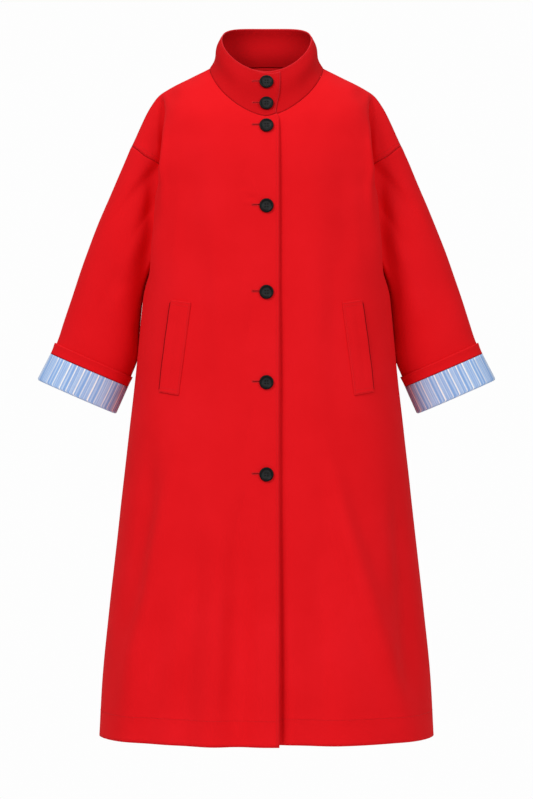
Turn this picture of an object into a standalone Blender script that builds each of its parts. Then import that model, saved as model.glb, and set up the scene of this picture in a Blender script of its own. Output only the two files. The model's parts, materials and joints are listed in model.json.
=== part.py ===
"""A long A-line coat in its worn, hollow form: stand collar, seven buttons, dropped shoulders,
slanted pocket welts, and turned-back cuffs that show a striped lining.

Metres, +Z up. The front faces -Y and the wearer's left is +X. The origin is the middle of the
neck, at the height where the shoulder seams meet the collar.

Body and sleeves are worked out from their outlines seen from the front, x and z, and a depth
formula that gives y. Every piece is a wall of cloth: an outer grid of points and the same grid
moved in by the cloth's thickness.
"""

import math

import bmesh
import bpy
import numpy as np

# ---- driving dimensions ----------------------------------------------------------------------

HEM_HEIGHT = -1.1247            # level hem, below the neck point
CLOTH = 0.0015                  # wall of the body and the sleeves
COLLAR_CLOTH = 0.0018           # two layers and an interlining
TRIM_CLOTH = 0.0013             # facing, lining and welts
SEAM_GAP = 0.0004               # between two sewn pieces
LAP = 0.021                     # right front edge, past the centre line
UNDERLAP = 0.022                # left front edge, past the centre line on the other side
LAP_DROP = 0.0026               # how much deeper the under layer lies
LAP_BLEND = (0.024, 0.062)      # the under layer comes up to the surface between these widths

NECK_HALF_WIDTH = 0.0963
NECK_FRONT_DROP = -0.091        # neck seam at the centre front
NECK_BACK_RISE = 0.009          # neck seam at the centre back
NECK_ROUNDNESS = 1.58           # exponent of the front neck line, 2 would be an ellipse

COLLAR_RIM = {"half_width": 0.0758, "half_depth": 0.0735, "shift": 0.0115,
              "middle": 0.0397, "tilt": 0.0441, "wave": 0.0093}
COLLAR_SWELL = 0.0027           # the collar is pinched low and full near the rim

# Cross-sections of the body, hem first. The squareness is the exponent of the section's curve.
BODY_COLUMNS = ("height", "half_width", "front_depth", "back_depth", "squareness")
BODY_SECTIONS = (
    (HEM_HEIGHT, 0.2822, 0.200, 0.198, 2.0),     # hem
    (-1.0334, 0.2772, 0.194, 0.190, 2.1),
    (-0.8983, 0.2636, 0.184, 0.176, 2.3),        # knee
    (-0.7630, 0.2484, 0.173, 0.162, 2.4),
    (-0.6278, 0.2332, 0.163, 0.151, 2.5),        # hip
    (-0.5095, 0.2197, 0.155, 0.143, 2.6),
    (-0.3743, 0.2062, 0.147, 0.140, 2.7),        # waist
    (-0.2898, 0.1927, 0.142, 0.142, 2.9),        # underarm
    (-0.2138, 0.1860, 0.138, 0.143, 3.0),        # chest
    (-0.1293, 0.1783, 0.128, 0.135, 3.0),
    (-0.0668, 0.1766, 0.101, 0.117, 2.8),
    (-0.0532, 0.1790, 0.088, 0.111, 2.5),
    (-0.0397, 0.1758, 0.074, 0.104, 2.5),
    (-0.0262, 0.1487, 0.059, 0.095, 2.5),        # shoulder slope
    (-0.0127, 0.1217, 0.041, 0.084, 2.4),
    (0.0000, 0.0963, 0.026, 0.075, 2.4),         # neck point
    (0.0090, 0.0783, 0.022, 0.070, 2.4),
    (0.0200, 0.0560, 0.020, 0.062, 2.4),
)

# The upper arm under the dropped shoulder: a round-ended form along the arm's line.
SHOULDER_JOINT = (0.1446, -0.0912)
ARM_SLOPE = math.radians(24.0)  # from the vertical
CAP_HALF_WIDTH = 0.060
CAP_DEPTH = {"front": 0.034, "back": 0.052}
CAP_FADE = (0.105, 0.175)       # the cap dies away between these distances down the arm
CREASE_SHARPNESS = 12.0         # how sharply the chest and the cap meet

# The arm presses the side in behind the chest's edge, which stands out over the sleeve.
PRESS = 0.028
PRESS_TOP = (0.075, 0.160)      # how far below the neck point it grows
PRESS_BOTTOM = (0.292, 0.392)   # and where it dies away
PRESS_KEPT = 0.56               # share of it by which the chest's edge moves out instead
PRESS_DEPTH = (-0.10, -0.03, 0.05, 0.13)    # y where it starts, is full, stops being so, ends

# The shoulder seam seen from the front, neck point first; the cap's outer edge ends it.
SHOULDER_COLUMNS = ("share", "width", "height")
SHOULDER_SEAM = (
    (0.00, 0.0963, 0.0000),
    (0.22, 0.1330, -0.0185),
    (0.42, 0.1655, -0.0350),
    (0.56, 0.1830, -0.0472),
    (0.68, 0.1955, -0.0640),
    (1.00, 0.2280, -0.1311),
)

# The armhole seam seen from the front, from its top over the arm down to the underarm.
ARMHOLE_COLUMNS = ("turn", "width", "height")
ARMHOLE_SEAM = (
    (0.0, 0.2280, -0.1311),
    (30.0, 0.2060, -0.1495),
    (60.0, 0.1850, -0.1730),
    (90.0, 0.1850, -0.2060),
    (120.0, 0.1862, -0.2400),
    (150.0, 0.1894, -0.2700),
    (180.0, 0.1924, -0.2870),
)

# Sleeve sections, armhole first: the outer and the inner edge seen from the front.
SLEEVE_COLUMNS = ("share", "outer_x", "outer_z", "inner_x", "inner_z", "half_depth", "back_shift")
SLEEVE_SECTIONS = (
    (0.00, 0.2280, -0.1311, 0.1924, -0.2870, 0.058, 0.006),
    (0.14, 0.2523, -0.1863, 0.1958, -0.3255, 0.058, 0.012),
    (0.28, 0.2765, -0.2415, 0.2052, -0.3640, 0.057, 0.018),
    (0.56, 0.3185, -0.3518, 0.2150, -0.4440, 0.053, 0.026),
    (0.74, 0.3430, -0.4240, 0.2192, -0.4935, 0.049, 0.026),
    (0.84, 0.3565, -0.4640, 0.2300, -0.5205, 0.047, 0.026),
    (1.00, 0.3870, -0.5265, 0.2575, -0.5830, 0.045, 0.024),
)
SLEEVE_SQUARENESS = 2.2
ARMHOLE_FADE = 0.42             # share of the sleeve over which the armhole's shape dies away
SLEEVE_END = 0.985              # the red cloth stops just inside the fold

CUFF_DEPTH = 0.068              # the turn-up, from the fold to its top
CUFF_TOP_SHARE = 0.84           # how far down the sleeve that top lies
FACING_DEPTH = 0.020
LINING_INSIDE = 0.045           # how far the lining is built up the inside of the sleeve
CUFF_OUT = 0.0022               # outer face of the turn-up, off the sleeve
CUFF_IN = 0.0033                # inner face of the lining, in from the sleeve's outer face

# Main folds: raised ridges are positive, troughs negative. Each runs from its top to the hem
# side, wider and fuller on the way.
FOLD_COLUMNS = ("top_x", "top_z", "end_x", "end_z", "top_width", "end_width", "rise")
FRONT_FOLDS = (
    (-0.146, -0.700, -0.250, -1.120, 0.020, 0.034, 0.013),
    (-0.075, -0.720, -0.088, -1.120, 0.018, 0.030, 0.008),
    (-0.185, -0.720, -0.192, -1.120, 0.020, 0.030, -0.008),
    (-0.028, -0.780, -0.046, -1.120, 0.018, 0.026, -0.008),
    (0.104, -0.700, 0.262, -1.120, 0.020, 0.036, 0.014),
    (0.236, -0.780, 0.232, -1.040, 0.020, 0.030, -0.007),
    (0.060, -0.740, 0.070, -1.120, 0.018, 0.030, -0.006),
    (-0.125, -0.080, -0.130, -0.330, 0.022, 0.022, -0.006),
    (0.125, -0.080, 0.132, -0.330, 0.022, 0.022, -0.006),
)
BACK_FOLDS = (
    (-0.120, -0.560, -0.205, -1.120, 0.022, 0.040, 0.014),
    (-0.030, -0.640, -0.060, -1.120, 0.022, 0.036, -0.010),
    (0.050, -0.600, 0.095, -1.120, 0.022, 0.038, 0.011),
    (0.150, -0.620, 0.190, -1.120, 0.022, 0.034, -0.009),
    (0.185, -0.640, 0.252, -1.120, 0.020, 0.034, 0.010),
    (-0.115, -0.120, -0.100, -0.360, 0.024, 0.024, -0.006),
    (0.118, -0.120, 0.105, -0.360, 0.024, 0.024, -0.006),
)

# A welt seen from the front: its inner long edge, top and bottom, its width, and how much higher
# its outer edge sits.
WELT = {"top": (0.1242, -0.3998), "bottom": (0.1442, -0.5528), "width": 0.0322, "slant": 0.0053,
        "lift": 0.0006}

BUTTON_DIAMETER = 0.0235
BUTTON_THICKNESS = 0.0036
BUTTON_HOLE = 0.0022            # diameter of one of the four thread holes
BUTTON_HOLE_SPACING = 0.0044
BUTTON_LIFT = 0.0004            # off the cloth
BUTTON_HEIGHTS = (-0.0338, -0.0698, -0.1077, -0.2407, -0.3830, -0.5312, -0.6818)

NECK_FAN = 0.13                 # how far the columns bow out below the neck point
NECK_FAN_SHARE = 0.13           # and over what share of the columns

# Spans of the grids.
SKIRT_ROWS = 17
YOKE_ROWS = 12                  # also the spans of each half of the armhole
NECK_SPANS = 7
BACK_NECK_SPANS = 5             # from the centre back to the neck point
SHOULDER_SPANS = 8
SLEEVE_ROWS = 12
COLLAR_ROWS = 4

RED = (0.70, 0.010, 0.018)
RED_FACING = (0.66, 0.010, 0.016)
STRIPE_BLUE = (0.42, 0.56, 0.86)
BUTTON_BLACK = (0.018, 0.019, 0.019)


# ---- tables and small vector helpers ---------------------------------------------------------

def read_table(columns, rows):
    """The table as one array for each named column."""
    return dict(zip(columns, np.array(rows, dtype=float).T))


def along(table, key, name, at):
    """Column `name` where `key` is `at`, on a smooth curve through the table's rows."""
    x, y = table[key], table[name]
    slope = np.gradient(y, x)
    at = np.clip(at, x[0], x[-1])
    i = np.clip(np.searchsorted(x, at) - 1, 0, len(x) - 2)
    step = x[i + 1] - x[i]
    t = (at - x[i]) / step
    start = (1 + 2 * t) * (1 - t) ** 2 * y[i] + t * (1 - t) ** 2 * step * slope[i]
    end = t * t * (3 - 2 * t) * y[i + 1] + t * t * (t - 1) * step * slope[i + 1]
    return start + end


def ease(value, low, high):
    """0 below `low`, 1 above `high`, and a soft S between."""
    t = np.clip((value - low) / (high - low), 0.0, 1.0)
    return t * t * (3 - 2 * t)


def unit(vectors):
    """Vectors of length 1, along the last axis."""
    return vectors / np.maximum(np.linalg.norm(vectors, axis=-1, keepdims=True), 1e-12)


BODY = read_table(BODY_COLUMNS, BODY_SECTIONS)
SHOULDER = read_table(SHOULDER_COLUMNS, SHOULDER_SEAM)
ARMHOLE = read_table(ARMHOLE_COLUMNS, ARMHOLE_SEAM)
SLEEVE = read_table(SLEEVE_COLUMNS, SLEEVE_SECTIONS)
FOLDS = {"front": read_table(FOLD_COLUMNS, FRONT_FOLDS),
         "back": read_table(FOLD_COLUMNS, BACK_FOLDS)}


# ---- the body's surface ----------------------------------------------------------------------

def fold_rise(x, z, side):
    """Sum of the folds' bell curves across, each eased in from its top end."""
    folds = FOLDS[side]
    total = np.zeros_like(x)
    for i in range(len(folds["rise"])):
        run = (folds["top_z"][i] - z) / (folds["top_z"][i] - folds["end_z"][i])
        kept = np.clip(run, 0.0, 1.0)
        centre = folds["top_x"][i] + kept * (folds["end_x"][i] - folds["top_x"][i])
        width = folds["top_width"][i] + kept * (folds["end_width"][i] - folds["top_width"][i])
        fade = ease(run, 0.0, 0.55)
        if folds["end_z"][i] > HEM_HEIGHT + 0.01:
            fade = fade * (1 - ease(run, 0.75, 1.25))
        total += folds["rise"][i] * fade * np.exp(-((x - centre) / width) ** 2)
    return total


def body_depth(x, z, side):
    """Depth of the outer face off the plane y = 0.

    The chest is a superellipse section, depth * (1 - |x / half width|^n)^(1 / n). The upper arm is
    a round-ended form about the arm's line. A high power mean joins them with a crease.
    """
    half = along(BODY, "height", "half_width", z)
    power = along(BODY, "height", "squareness", z)
    inside = np.clip(1 - (np.abs(x) / half) ** power, 0.0, 1.0)
    chest = along(BODY, "height", side + "_depth", z) * inside ** (1 / power)

    out = np.abs(x) - SHOULDER_JOINT[0]
    down = SHOULDER_JOINT[1] - z
    run = out * math.sin(ARM_SLOPE) + down * math.cos(ARM_SLOPE)
    across = out * math.cos(ARM_SLOPE) - down * math.sin(ARM_SLOPE)
    reach = np.hypot(np.minimum(run, 0.0), across) / CAP_HALF_WIDTH
    cap = CAP_DEPTH[side] * np.sqrt(np.clip(1 - reach ** 2, 0.0, 1.0)) * (1 - ease(run, *CAP_FADE))

    form = (chest ** CREASE_SHARPNESS + cap ** CREASE_SHARPNESS) ** (1 / CREASE_SHARPNESS)
    return form + fold_rise(x, z, side) * inside ** 0.5


def neck_line(turn, side):
    """Neck seam from the front, x and z, at `turn` radians from the centre line."""
    if side == "front":
        power = 2 / NECK_ROUNDNESS
        x = NECK_HALF_WIDTH * np.sign(turn) * np.abs(np.sin(turn)) ** power
        return x, NECK_FRONT_DROP * np.abs(np.cos(turn)) ** power
    return NECK_HALF_WIDTH * np.sin(turn), NECK_BACK_RISE * np.cos(turn) ** 2


def neck_turns(edge_x, spans, side):
    """Evenly spaced turns from the edge at `edge_x` to the neck point."""
    first = math.copysign((abs(edge_x) / NECK_HALF_WIDTH) ** (NECK_ROUNDNESS / 2), edge_x)
    start = math.asin(first) if side == "front" else 0.0
    return np.linspace(start, math.pi / 2, spans + 1)


def half_panel(edge_x, neck_spans, side):
    """Front view of half the body, x and z grids, from the edge at `edge_x` out to the side.

    The rows below the underarm are level. Above it they rise in steps to the neck seam and the
    shoulder seam, closer together near the shoulder, and are pulled sideways to the armhole. The
    columns fan out below the neck point, so that they meet the neck seam at an angle.
    """
    columns = neck_spans + SHOULDER_SPANS
    share = np.linspace(0, 1, columns + 1)
    spread = np.sin(share * math.pi / 2)
    underarm_x, underarm_z = ARMHOLE["width"][-1], ARMHOLE["height"][-1]

    skirt_z = np.linspace(HEM_HEIGHT, underarm_z, SKIRT_ROWS + 1)
    skirt_half = along(BODY, "height", "half_width", skirt_z)
    skirt_half[-1] = underarm_x
    skirt_x = edge_x + (skirt_half[:, None] - edge_x) * spread
    skirt = np.stack([skirt_x, np.repeat(skirt_z[:, None], columns + 1, axis=1)], axis=-1)

    neck = np.stack(neck_line(neck_turns(edge_x, neck_spans, side), side), axis=-1)
    reach = np.linspace(0, 1, SHOULDER_SPANS + 1)[1:]
    shoulder = np.stack([along(SHOULDER, "share", "width", reach),
                         along(SHOULDER, "share", "height", reach)], axis=-1)
    top = np.concatenate([neck, shoulder])
    turn = np.linspace(180, 0, YOKE_ROWS + 1)
    armhole = np.stack([along(ARMHOLE, "turn", "width", turn),
                        along(ARMHOLE, "turn", "height", turn)], axis=-1)
    even = np.linspace(0, 1, YOKE_ROWS + 1)[:, None]
    crowded = np.sin(even * math.pi / 2)
    rise = (even + (crowded - even) * ease(share, 0.2, 0.6))[..., None]
    low = skirt[-1]
    straight_side = (1 - rise[:, -1]) * low[-1] + rise[:, -1] * top[-1]
    yoke = (1 - rise) * low + rise * top + share[:, None] ** 1.5 * (armhole - straight_side)[:, None]
    near_neck_point = np.exp(-((share - neck_spans / columns) / NECK_FAN_SHARE) ** 2)
    yoke[..., 0] += NECK_FAN * near_neck_point * rise[..., 0] ** 2 * (1 - rise[..., 0])
    grid = np.concatenate([skirt, yoke[1:]])
    return grid[..., 0], grid[..., 1]


def press_in(points):
    """Moves a panel's points sideways: in at the side, where the arm is, and out at the chest."""
    width, y, below = np.abs(points[..., 0]), points[..., 1], -points[..., 2]
    half = along(BODY, "height", "half_width", points[..., 2])
    near_side = ease(width / half, 0.79, 1.0) * (1 - ease(width - half, 0.004, 0.03))
    at_arm = ease(y, *PRESS_DEPTH[:2]) * (1 - ease(y, *PRESS_DEPTH[2:]))
    strength = PRESS * ease(below, *PRESS_TOP) * (1 - ease(below, *PRESS_BOTTOM))
    shift = np.sign(points[..., 0]) * strength * near_side * (PRESS_KEPT - at_arm)
    return points + shift[..., None] * np.array([1.0, 0.0, 0.0])


def panel_points(x, z, side, neck_spans, sign):
    """The panel's outer face. The shoulder and side seams are brought to the plane y = 0."""
    depth = body_depth(x * sign, z, side)
    closing = ease(np.arange(len(z)), SKIRT_ROWS + YOKE_ROWS - 5, SKIRT_ROWS + YOKE_ROWS)
    off_seam = np.where(np.arange(x.shape[1]) > neck_spans, depth[-1], 0.0)
    depth = np.maximum(depth - closing[:, None] * off_seam, 0.0)
    depth[-1, neck_spans:] = 0.0
    depth[:SKIRT_ROWS + 1, -1] = 0.0
    y = -depth if side == "front" else depth
    return press_in(np.stack([x * sign, y, z], axis=-1))


def under_layer(points):
    """Sinks the wearer's left front where the right front lies over it."""
    sunk = LAP_DROP * (1 - ease(points[..., 0], *LAP_BLEND)) * (points[..., 1] < -0.03)
    return points + sunk[..., None] * np.array([0.0, 1.0, 0.0])


def front_panel(sign, edge_x):
    """Outer face of a front; `sign` is -1 on the wearer's right."""
    x, z = half_panel(edge_x, NECK_SPANS, "front")
    points = panel_points(x, z, "front", NECK_SPANS, sign)
    return under_layer(points) if sign > 0 else points


def back_panel():
    """Outer face of the back, from the wearer's right side across to the left."""
    x, z = half_panel(0.0, BACK_NECK_SPANS, "back")
    left = panel_points(x, z, "back", BACK_NECK_SPANS, 1)
    right = panel_points(x, z, "back", BACK_NECK_SPANS, -1)
    return np.concatenate([right[:, :0:-1], left], axis=1)


# ---- sleeves and cuffs -----------------------------------------------------------------------

def sleeve_ring(share, turn):
    """Points at `share` down the sleeve and `turn` round it: 0 outer edge, 90 degrees front."""
    section = {name: along(SLEEVE, "share", name, share) for name in SLEEVE_COLUMNS[1:]}
    power = 2 / SLEEVE_SQUARENESS
    swing = np.sign(np.cos(turn)) * np.abs(np.cos(turn)) ** power
    bulge = np.sign(np.sin(turn)) * np.abs(np.sin(turn)) ** power
    outward, inward = (1 + swing) / 2, (1 - swing) / 2
    x = outward * section["outer_x"] + inward * section["inner_x"]
    z = outward * section["outer_z"] + inward * section["inner_z"]
    y = section["back_shift"] - bulge * section["half_depth"]
    return np.stack([x, y, z], axis=-1)


def sleeve_grid(shares, turns, loop):
    """Sleeve rings; the armhole's own shape, `loop`, dies away down the sleeve."""
    share, turn = np.meshgrid(shares, turns, indexing="ij")
    points = sleeve_ring(share, turn)
    difference = loop - sleeve_ring(np.zeros_like(turns), turns)
    fade = np.clip(1 - shares / ARMHOLE_FADE, 0.0, 1.0) ** 2
    return points + fade[:, None, None] * difference


def cuff_point(path, turns):
    """Points of a cuff profile: each step of `path` is (distance above the fold, off the sleeve)."""
    length = CUFF_DEPTH / (1 - CUFF_TOP_SHARE)
    rows = []
    for above, off in path:
        share = np.full_like(turns, 1 - above / length)
        ring = sleeve_ring(share, turns)
        before = sleeve_ring(share, turns - 0.05)
        after = sleeve_ring(share, turns + 0.05)
        down = sleeve_ring(share, turns) - sleeve_ring(share - 0.02, turns)
        out = unit(np.cross(after - before, down))
        out *= np.sign(np.sum(out * (ring - ring.mean(axis=0)), axis=-1, keepdims=True))
        rows.append(ring + off * out)
    return np.stack(rows)


# ---- walls of cloth --------------------------------------------------------------------------

def face_normals(points, ring=False):
    """Unit normals of a grid, pointing away from the body's axis, or from a ring's own middle."""
    down = np.gradient(points, axis=0)
    if ring:
        across = np.roll(points, -1, axis=1) - np.roll(points, 1, axis=1)
    else:
        across = np.gradient(points, axis=1)
    normals = unit(np.cross(down, across))
    away = points - (points.mean(axis=(0, 1)) if ring else 0.0)
    away[..., 2] = 0.0
    return normals if np.sum(normals * away) > 0 else -normals


def share_edge(first, second):
    """Both pieces of a seam get the same normals along it, so their walls meet in a mitre."""
    mean = unit(first + second)
    first[...] = mean
    second[...] = mean


def draw_back(edge, beside, normals, ring=False):
    """A seam edge moved half a gap to its own side of the mitre that it shares."""
    if ring:
        tangent = np.roll(edge, -1, axis=0) - np.roll(edge, 1, axis=0)
    else:
        tangent = np.gradient(edge, axis=0)
    aside = unit(np.cross(tangent, normals))
    aside *= np.sign(np.sum(aside * (beside - edge), axis=-1, keepdims=True))
    return edge + SEAM_GAP / 2 * aside


def wall(name, outer, inner, material, ring=False):
    """A closed solid between two grids of the same size, joined round their edges.

    Each cell is split along its shorter diagonal, the same one on both faces of the cloth.
    """
    rows, columns = outer.shape[:2]
    index = np.arange(rows * columns).reshape(rows, columns)
    if ring:
        index = np.concatenate([index, index[:, :1]], axis=1)
    under = index + rows * columns
    a, b = index[:-1, :-1].ravel(), index[:-1, 1:].ravel()
    c, d = index[1:, 1:].ravel(), index[1:, :-1].ravel()
    flat = outer.reshape(-1, 3)
    short = np.linalg.norm(flat[a] - flat[c], axis=-1) < np.linalg.norm(flat[b] - flat[d], axis=-1)
    faces = [np.stack([a, b, np.where(short, c, d)], axis=-1),
             np.stack([np.where(short, a, b), c, d], axis=-1)]
    faces += [(face + rows * columns)[:, ::-1] for face in faces[:2]]
    rims = [(index[0], under[0]), (index[-1][::-1], under[-1][::-1])]
    if not ring:
        rims.append((index[:, -1], under[:, -1]))
        # the first side is split along the same diagonals as the last side of its neighbour
        top, low = index[:, 0][::-1], under[:, 0][::-1]
        faces.append(np.stack([top[1:], top[:-1], low[1:]], axis=-1))
        faces.append(np.stack([top[:-1], low[:-1], low[1:]], axis=-1))
    for top, low in rims:
        faces.append(np.stack([top[1:], top[:-1], low[:-1]], axis=-1))
        faces.append(np.stack([top[1:], low[:-1], low[1:]], axis=-1))
    points = np.concatenate([outer.reshape(-1, 3), inner.reshape(-1, 3)])
    mesh = bpy.data.meshes.new(name)
    mesh.from_pydata(points.tolist(), [], np.concatenate(faces).tolist())
    finish_mesh(mesh, material)
    return add_object(name, mesh)


def finish_mesh(mesh, material):
    """Outward faces, smooth shading with sharp edges, and the material."""
    work = bmesh.new()
    work.from_mesh(mesh)
    bmesh.ops.recalc_face_normals(work, faces=work.faces)
    if work.calc_volume(signed=True) < 0:
        bmesh.ops.reverse_faces(work, faces=work.faces)
    work.to_mesh(mesh)
    work.free()
    mesh.shade_smooth()
    mesh.set_sharp_from_angle(angle=math.radians(40))
    mesh.materials.append(material)


def add_object(name, mesh):
    """A named object in the scene, at the origin."""
    item = bpy.data.objects.new(name, mesh)
    bpy.context.scene.collection.objects.link(item)
    return item


def cloth_material(name, colour, roughness):
    """A plain Principled material."""
    material = bpy.data.materials.new(name)
    material.use_nodes = True
    shader = material.node_tree.nodes["Principled BSDF"]
    shader.inputs["Base Color"].default_value = (*colour, 1.0)
    shader.inputs["Roughness"].default_value = roughness
    return material


# ---- the pieces ------------------------------------------------------------------------------

def make_shell(red):
    """Fronts, back, sleeves and collar, whose walls meet in mitres along their shared seams."""
    grids = {"front_right": front_panel(-1, -LAP), "front_left": front_panel(1, -UNDERLAP),
             "back": back_panel(), "collar": collar_grid()}
    normals = {name: face_normals(grid) for name, grid in grids.items()}
    turns = np.radians(np.arange(0, 360, 180 / YOKE_ROWS))
    shares = np.linspace(0, SLEEVE_END, SLEEVE_ROWS + 1)
    front_rows = SKIRT_ROWS + np.arange(YOKE_ROWS, 0, -1)
    back_rows = SKIRT_ROWS + np.arange(0, YOKE_ROWS)
    half_back = BACK_NECK_SPANS + SHOULDER_SPANS
    collar_columns = {"front_right": slice(0, NECK_SPANS + 1),
                      "front_left": slice(-1, -NECK_SPANS - 2, -1),
                      "back": slice(NECK_SPANS, NECK_SPANS + 2 * BACK_NECK_SPANS + 1)}
    neck_columns = {"front_right": slice(0, NECK_SPANS + 1), "front_left": slice(0, NECK_SPANS + 1),
                    "back": slice(SHOULDER_SPANS, SHOULDER_SPANS + 2 * BACK_NECK_SPANS + 1)}

    for side, sign in (("right", -1), ("left", 1)):
        front = "front_" + side
        from_middle = slice(half_back, None) if sign > 0 else slice(half_back, None, -1)
        back, back_normals = grids["back"][:, from_middle], normals["back"][:, from_middle]
        share_edge(normals[front][:SKIRT_ROWS + 1, -1], back_normals[:SKIRT_ROWS + 1, -1])
        share_edge(normals[front][-1, NECK_SPANS:], back_normals[-1, BACK_NECK_SPANS:])

        loop = np.concatenate([grids[front][front_rows, -1], back[back_rows, -1]])
        loop[:, 0] = np.abs(loop[:, 0])
        sleeve = sleeve_grid(shares, turns, loop) * np.array([sign, 1, 1])
        sleeve_normals = face_normals(sleeve, ring=True)
        ring = np.concatenate([normals[front][front_rows, -1], back_normals[back_rows, -1]])
        share_edge(ring, sleeve_normals[0])
        normals[front][front_rows, -1] = ring[:YOKE_ROWS]
        normals[front][SKIRT_ROWS, -1] = ring[YOKE_ROWS]
        back_normals[back_rows, -1] = ring[YOKE_ROWS:]
        back_normals[-1, -1] = ring[0]
        grids["sleeve_" + side] = sleeve
        normals["sleeve_" + side] = sleeve_normals

    for name in ("front_right", "front_left", "back"):
        share_edge(normals[name][-1, neck_columns[name]], normals["collar"][0, collar_columns[name]])

    for name, grid in grids.items():
        ring = name.startswith("sleeve")
        outer = grid.copy()
        top, beside = (0, 1) if ring or name == "collar" else (-1, -2)
        outer[top] = draw_back(grid[top], grid[beside], normals[name][top], ring)
        if name in ("front_right", "front_left", "back"):
            outer[:, -1] = draw_back(outer[:, -1], grid[:, -2], normals[name][:, -1])
        if name == "back":
            outer[:, 0] = draw_back(outer[:, 0], grid[:, 1], normals[name][:, 0])
        cloth = COLLAR_CLOTH if name == "collar" else CLOTH
        wall(name, outer, outer - cloth * normals[name], red, ring=ring)


def collar_grid():
    """Outer face of one strip round the neck, from its lapped end on the right to the end below.

    The bottom row is the neck seam. The rim is an ellipse that is tilted down to the front. The
    strip is straight between them but for a slight swell, sin(2 pi rise).
    """
    front_over = neck_turns(-LAP, NECK_SPANS, "front")
    front_under = neck_turns(-UNDERLAP, NECK_SPANS, "front")[::-1]
    back = neck_turns(0.0, BACK_NECK_SPANS, "back")
    behind = np.concatenate([-back[:0:-1], back])[1:-1]
    stretches = ((front_over, -1, "front", -front_over), (behind, 1, "back", -math.pi - behind),
                 (front_under, 1, "front", front_under - 2 * math.pi))
    seam, heading = [], []
    for turn, mirror, side, angle in stretches:
        x, z = neck_line(turn, side)
        depth = body_depth(x, z, side) * (np.abs(x) < NECK_HALF_WIDTH - 1e-6)
        seam.append(np.stack([x * mirror, -depth if side == "front" else depth, z], axis=-1))
        heading.append(angle)
    seam, heading = np.concatenate(seam), np.concatenate(heading)
    rim = np.stack([COLLAR_RIM["half_width"] * np.sin(heading),
                    -COLLAR_RIM["half_depth"] * np.cos(heading) - COLLAR_RIM["shift"],
                    COLLAR_RIM["middle"] - COLLAR_RIM["tilt"] * np.cos(heading)
                    - COLLAR_RIM["wave"] * np.cos(2 * heading)], axis=-1)
    rise = np.linspace(0, 1, COLLAR_ROWS + 1)[:, None, None]
    outer = seam + rise * (rim - seam)
    out = unit(outer * np.array([1.0, 1.0, 0.0]))
    outer = outer - COLLAR_SWELL * np.sin(2 * math.pi * rise) * out
    outer[:, -(NECK_SPANS + 1):] = under_layer(outer[:, -(NECK_SPANS + 1):])
    return outer


def make_cuff(side, sign, red_facing, lining):
    """The turn-up: a red facing at its top, and the lining from there round the fold and inside."""
    turns = np.radians(np.arange(0, 360, 180 / YOKE_ROWS))
    mirror = np.array([sign, 1, 1])
    band_top = CUFF_DEPTH - FACING_DEPTH
    out, low = CUFF_OUT, CUFF_OUT - TRIM_CLOTH
    facing_out = cuff_point(((CUFF_DEPTH, out), (band_top + FACING_DEPTH / 2, out),
                             (band_top + SEAM_GAP, out)), turns)
    facing_in = cuff_point(((CUFF_DEPTH, low), (band_top + FACING_DEPTH / 2, low),
                            (band_top + SEAM_GAP, low)), turns)
    wall("cuff_facing_" + side, facing_out * mirror, facing_in * mirror, red_facing, ring=True)

    deep, inside = CUFF_IN, CUFF_IN - TRIM_CLOTH
    bend = TRIM_CLOTH + 0.002
    corner = 0.0012
    outer = cuff_point(((band_top, out), (band_top / 2, out), (bend, out), (corner, out - corner),
                        (0.0, (out - deep) / 2), (corner, corner - deep), (bend, -deep),
                        (LINING_INSIDE / 2, -deep), (LINING_INSIDE, -deep)), turns)
    inner = cuff_point(((band_top, low), (band_top / 2, low), (bend, low), (bend - 0.0009, low - 0.0004),
                        (TRIM_CLOTH, (low - inside) / 2), (bend - 0.0009, 0.0004 - inside),
                        (bend, -inside), (LINING_INSIDE / 2, -inside), (LINING_INSIDE, -inside)), turns)
    wall("cuff_lining_" + side, outer * mirror, inner * mirror, lining, ring=True)


def front_face(x, z):
    """Points and outward normals of the front's outer face at given x and z."""
    step = 0.004
    points = np.stack([x, -body_depth(x, z, "front"), z], axis=-1)
    slope_x = (body_depth(x + step, z, "front") - body_depth(x - step, z, "front")) / (2 * step)
    slope_z = (body_depth(x, z + step, "front") - body_depth(x, z - step, "front")) / (2 * step)
    return points, unit(np.stack([-slope_x, -np.ones_like(x), -slope_z], axis=-1))


def make_welt(side, sign, red):
    """A slanted strip that follows the front and lies just off it."""
    down = np.linspace(0, 1, 9)[:, None]
    across = np.linspace(0, 1, 4)[None, :]
    x = WELT["top"][0] + down * (WELT["bottom"][0] - WELT["top"][0]) + across * WELT["width"]
    z = WELT["top"][1] + down * (WELT["bottom"][1] - WELT["top"][1]) + across * WELT["slant"]
    points, normals = front_face(sign * x, z)
    wall("pocket_welt_" + side, points + (WELT["lift"] + TRIM_CLOTH) * normals,
         points + WELT["lift"] * normals, red)


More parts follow.
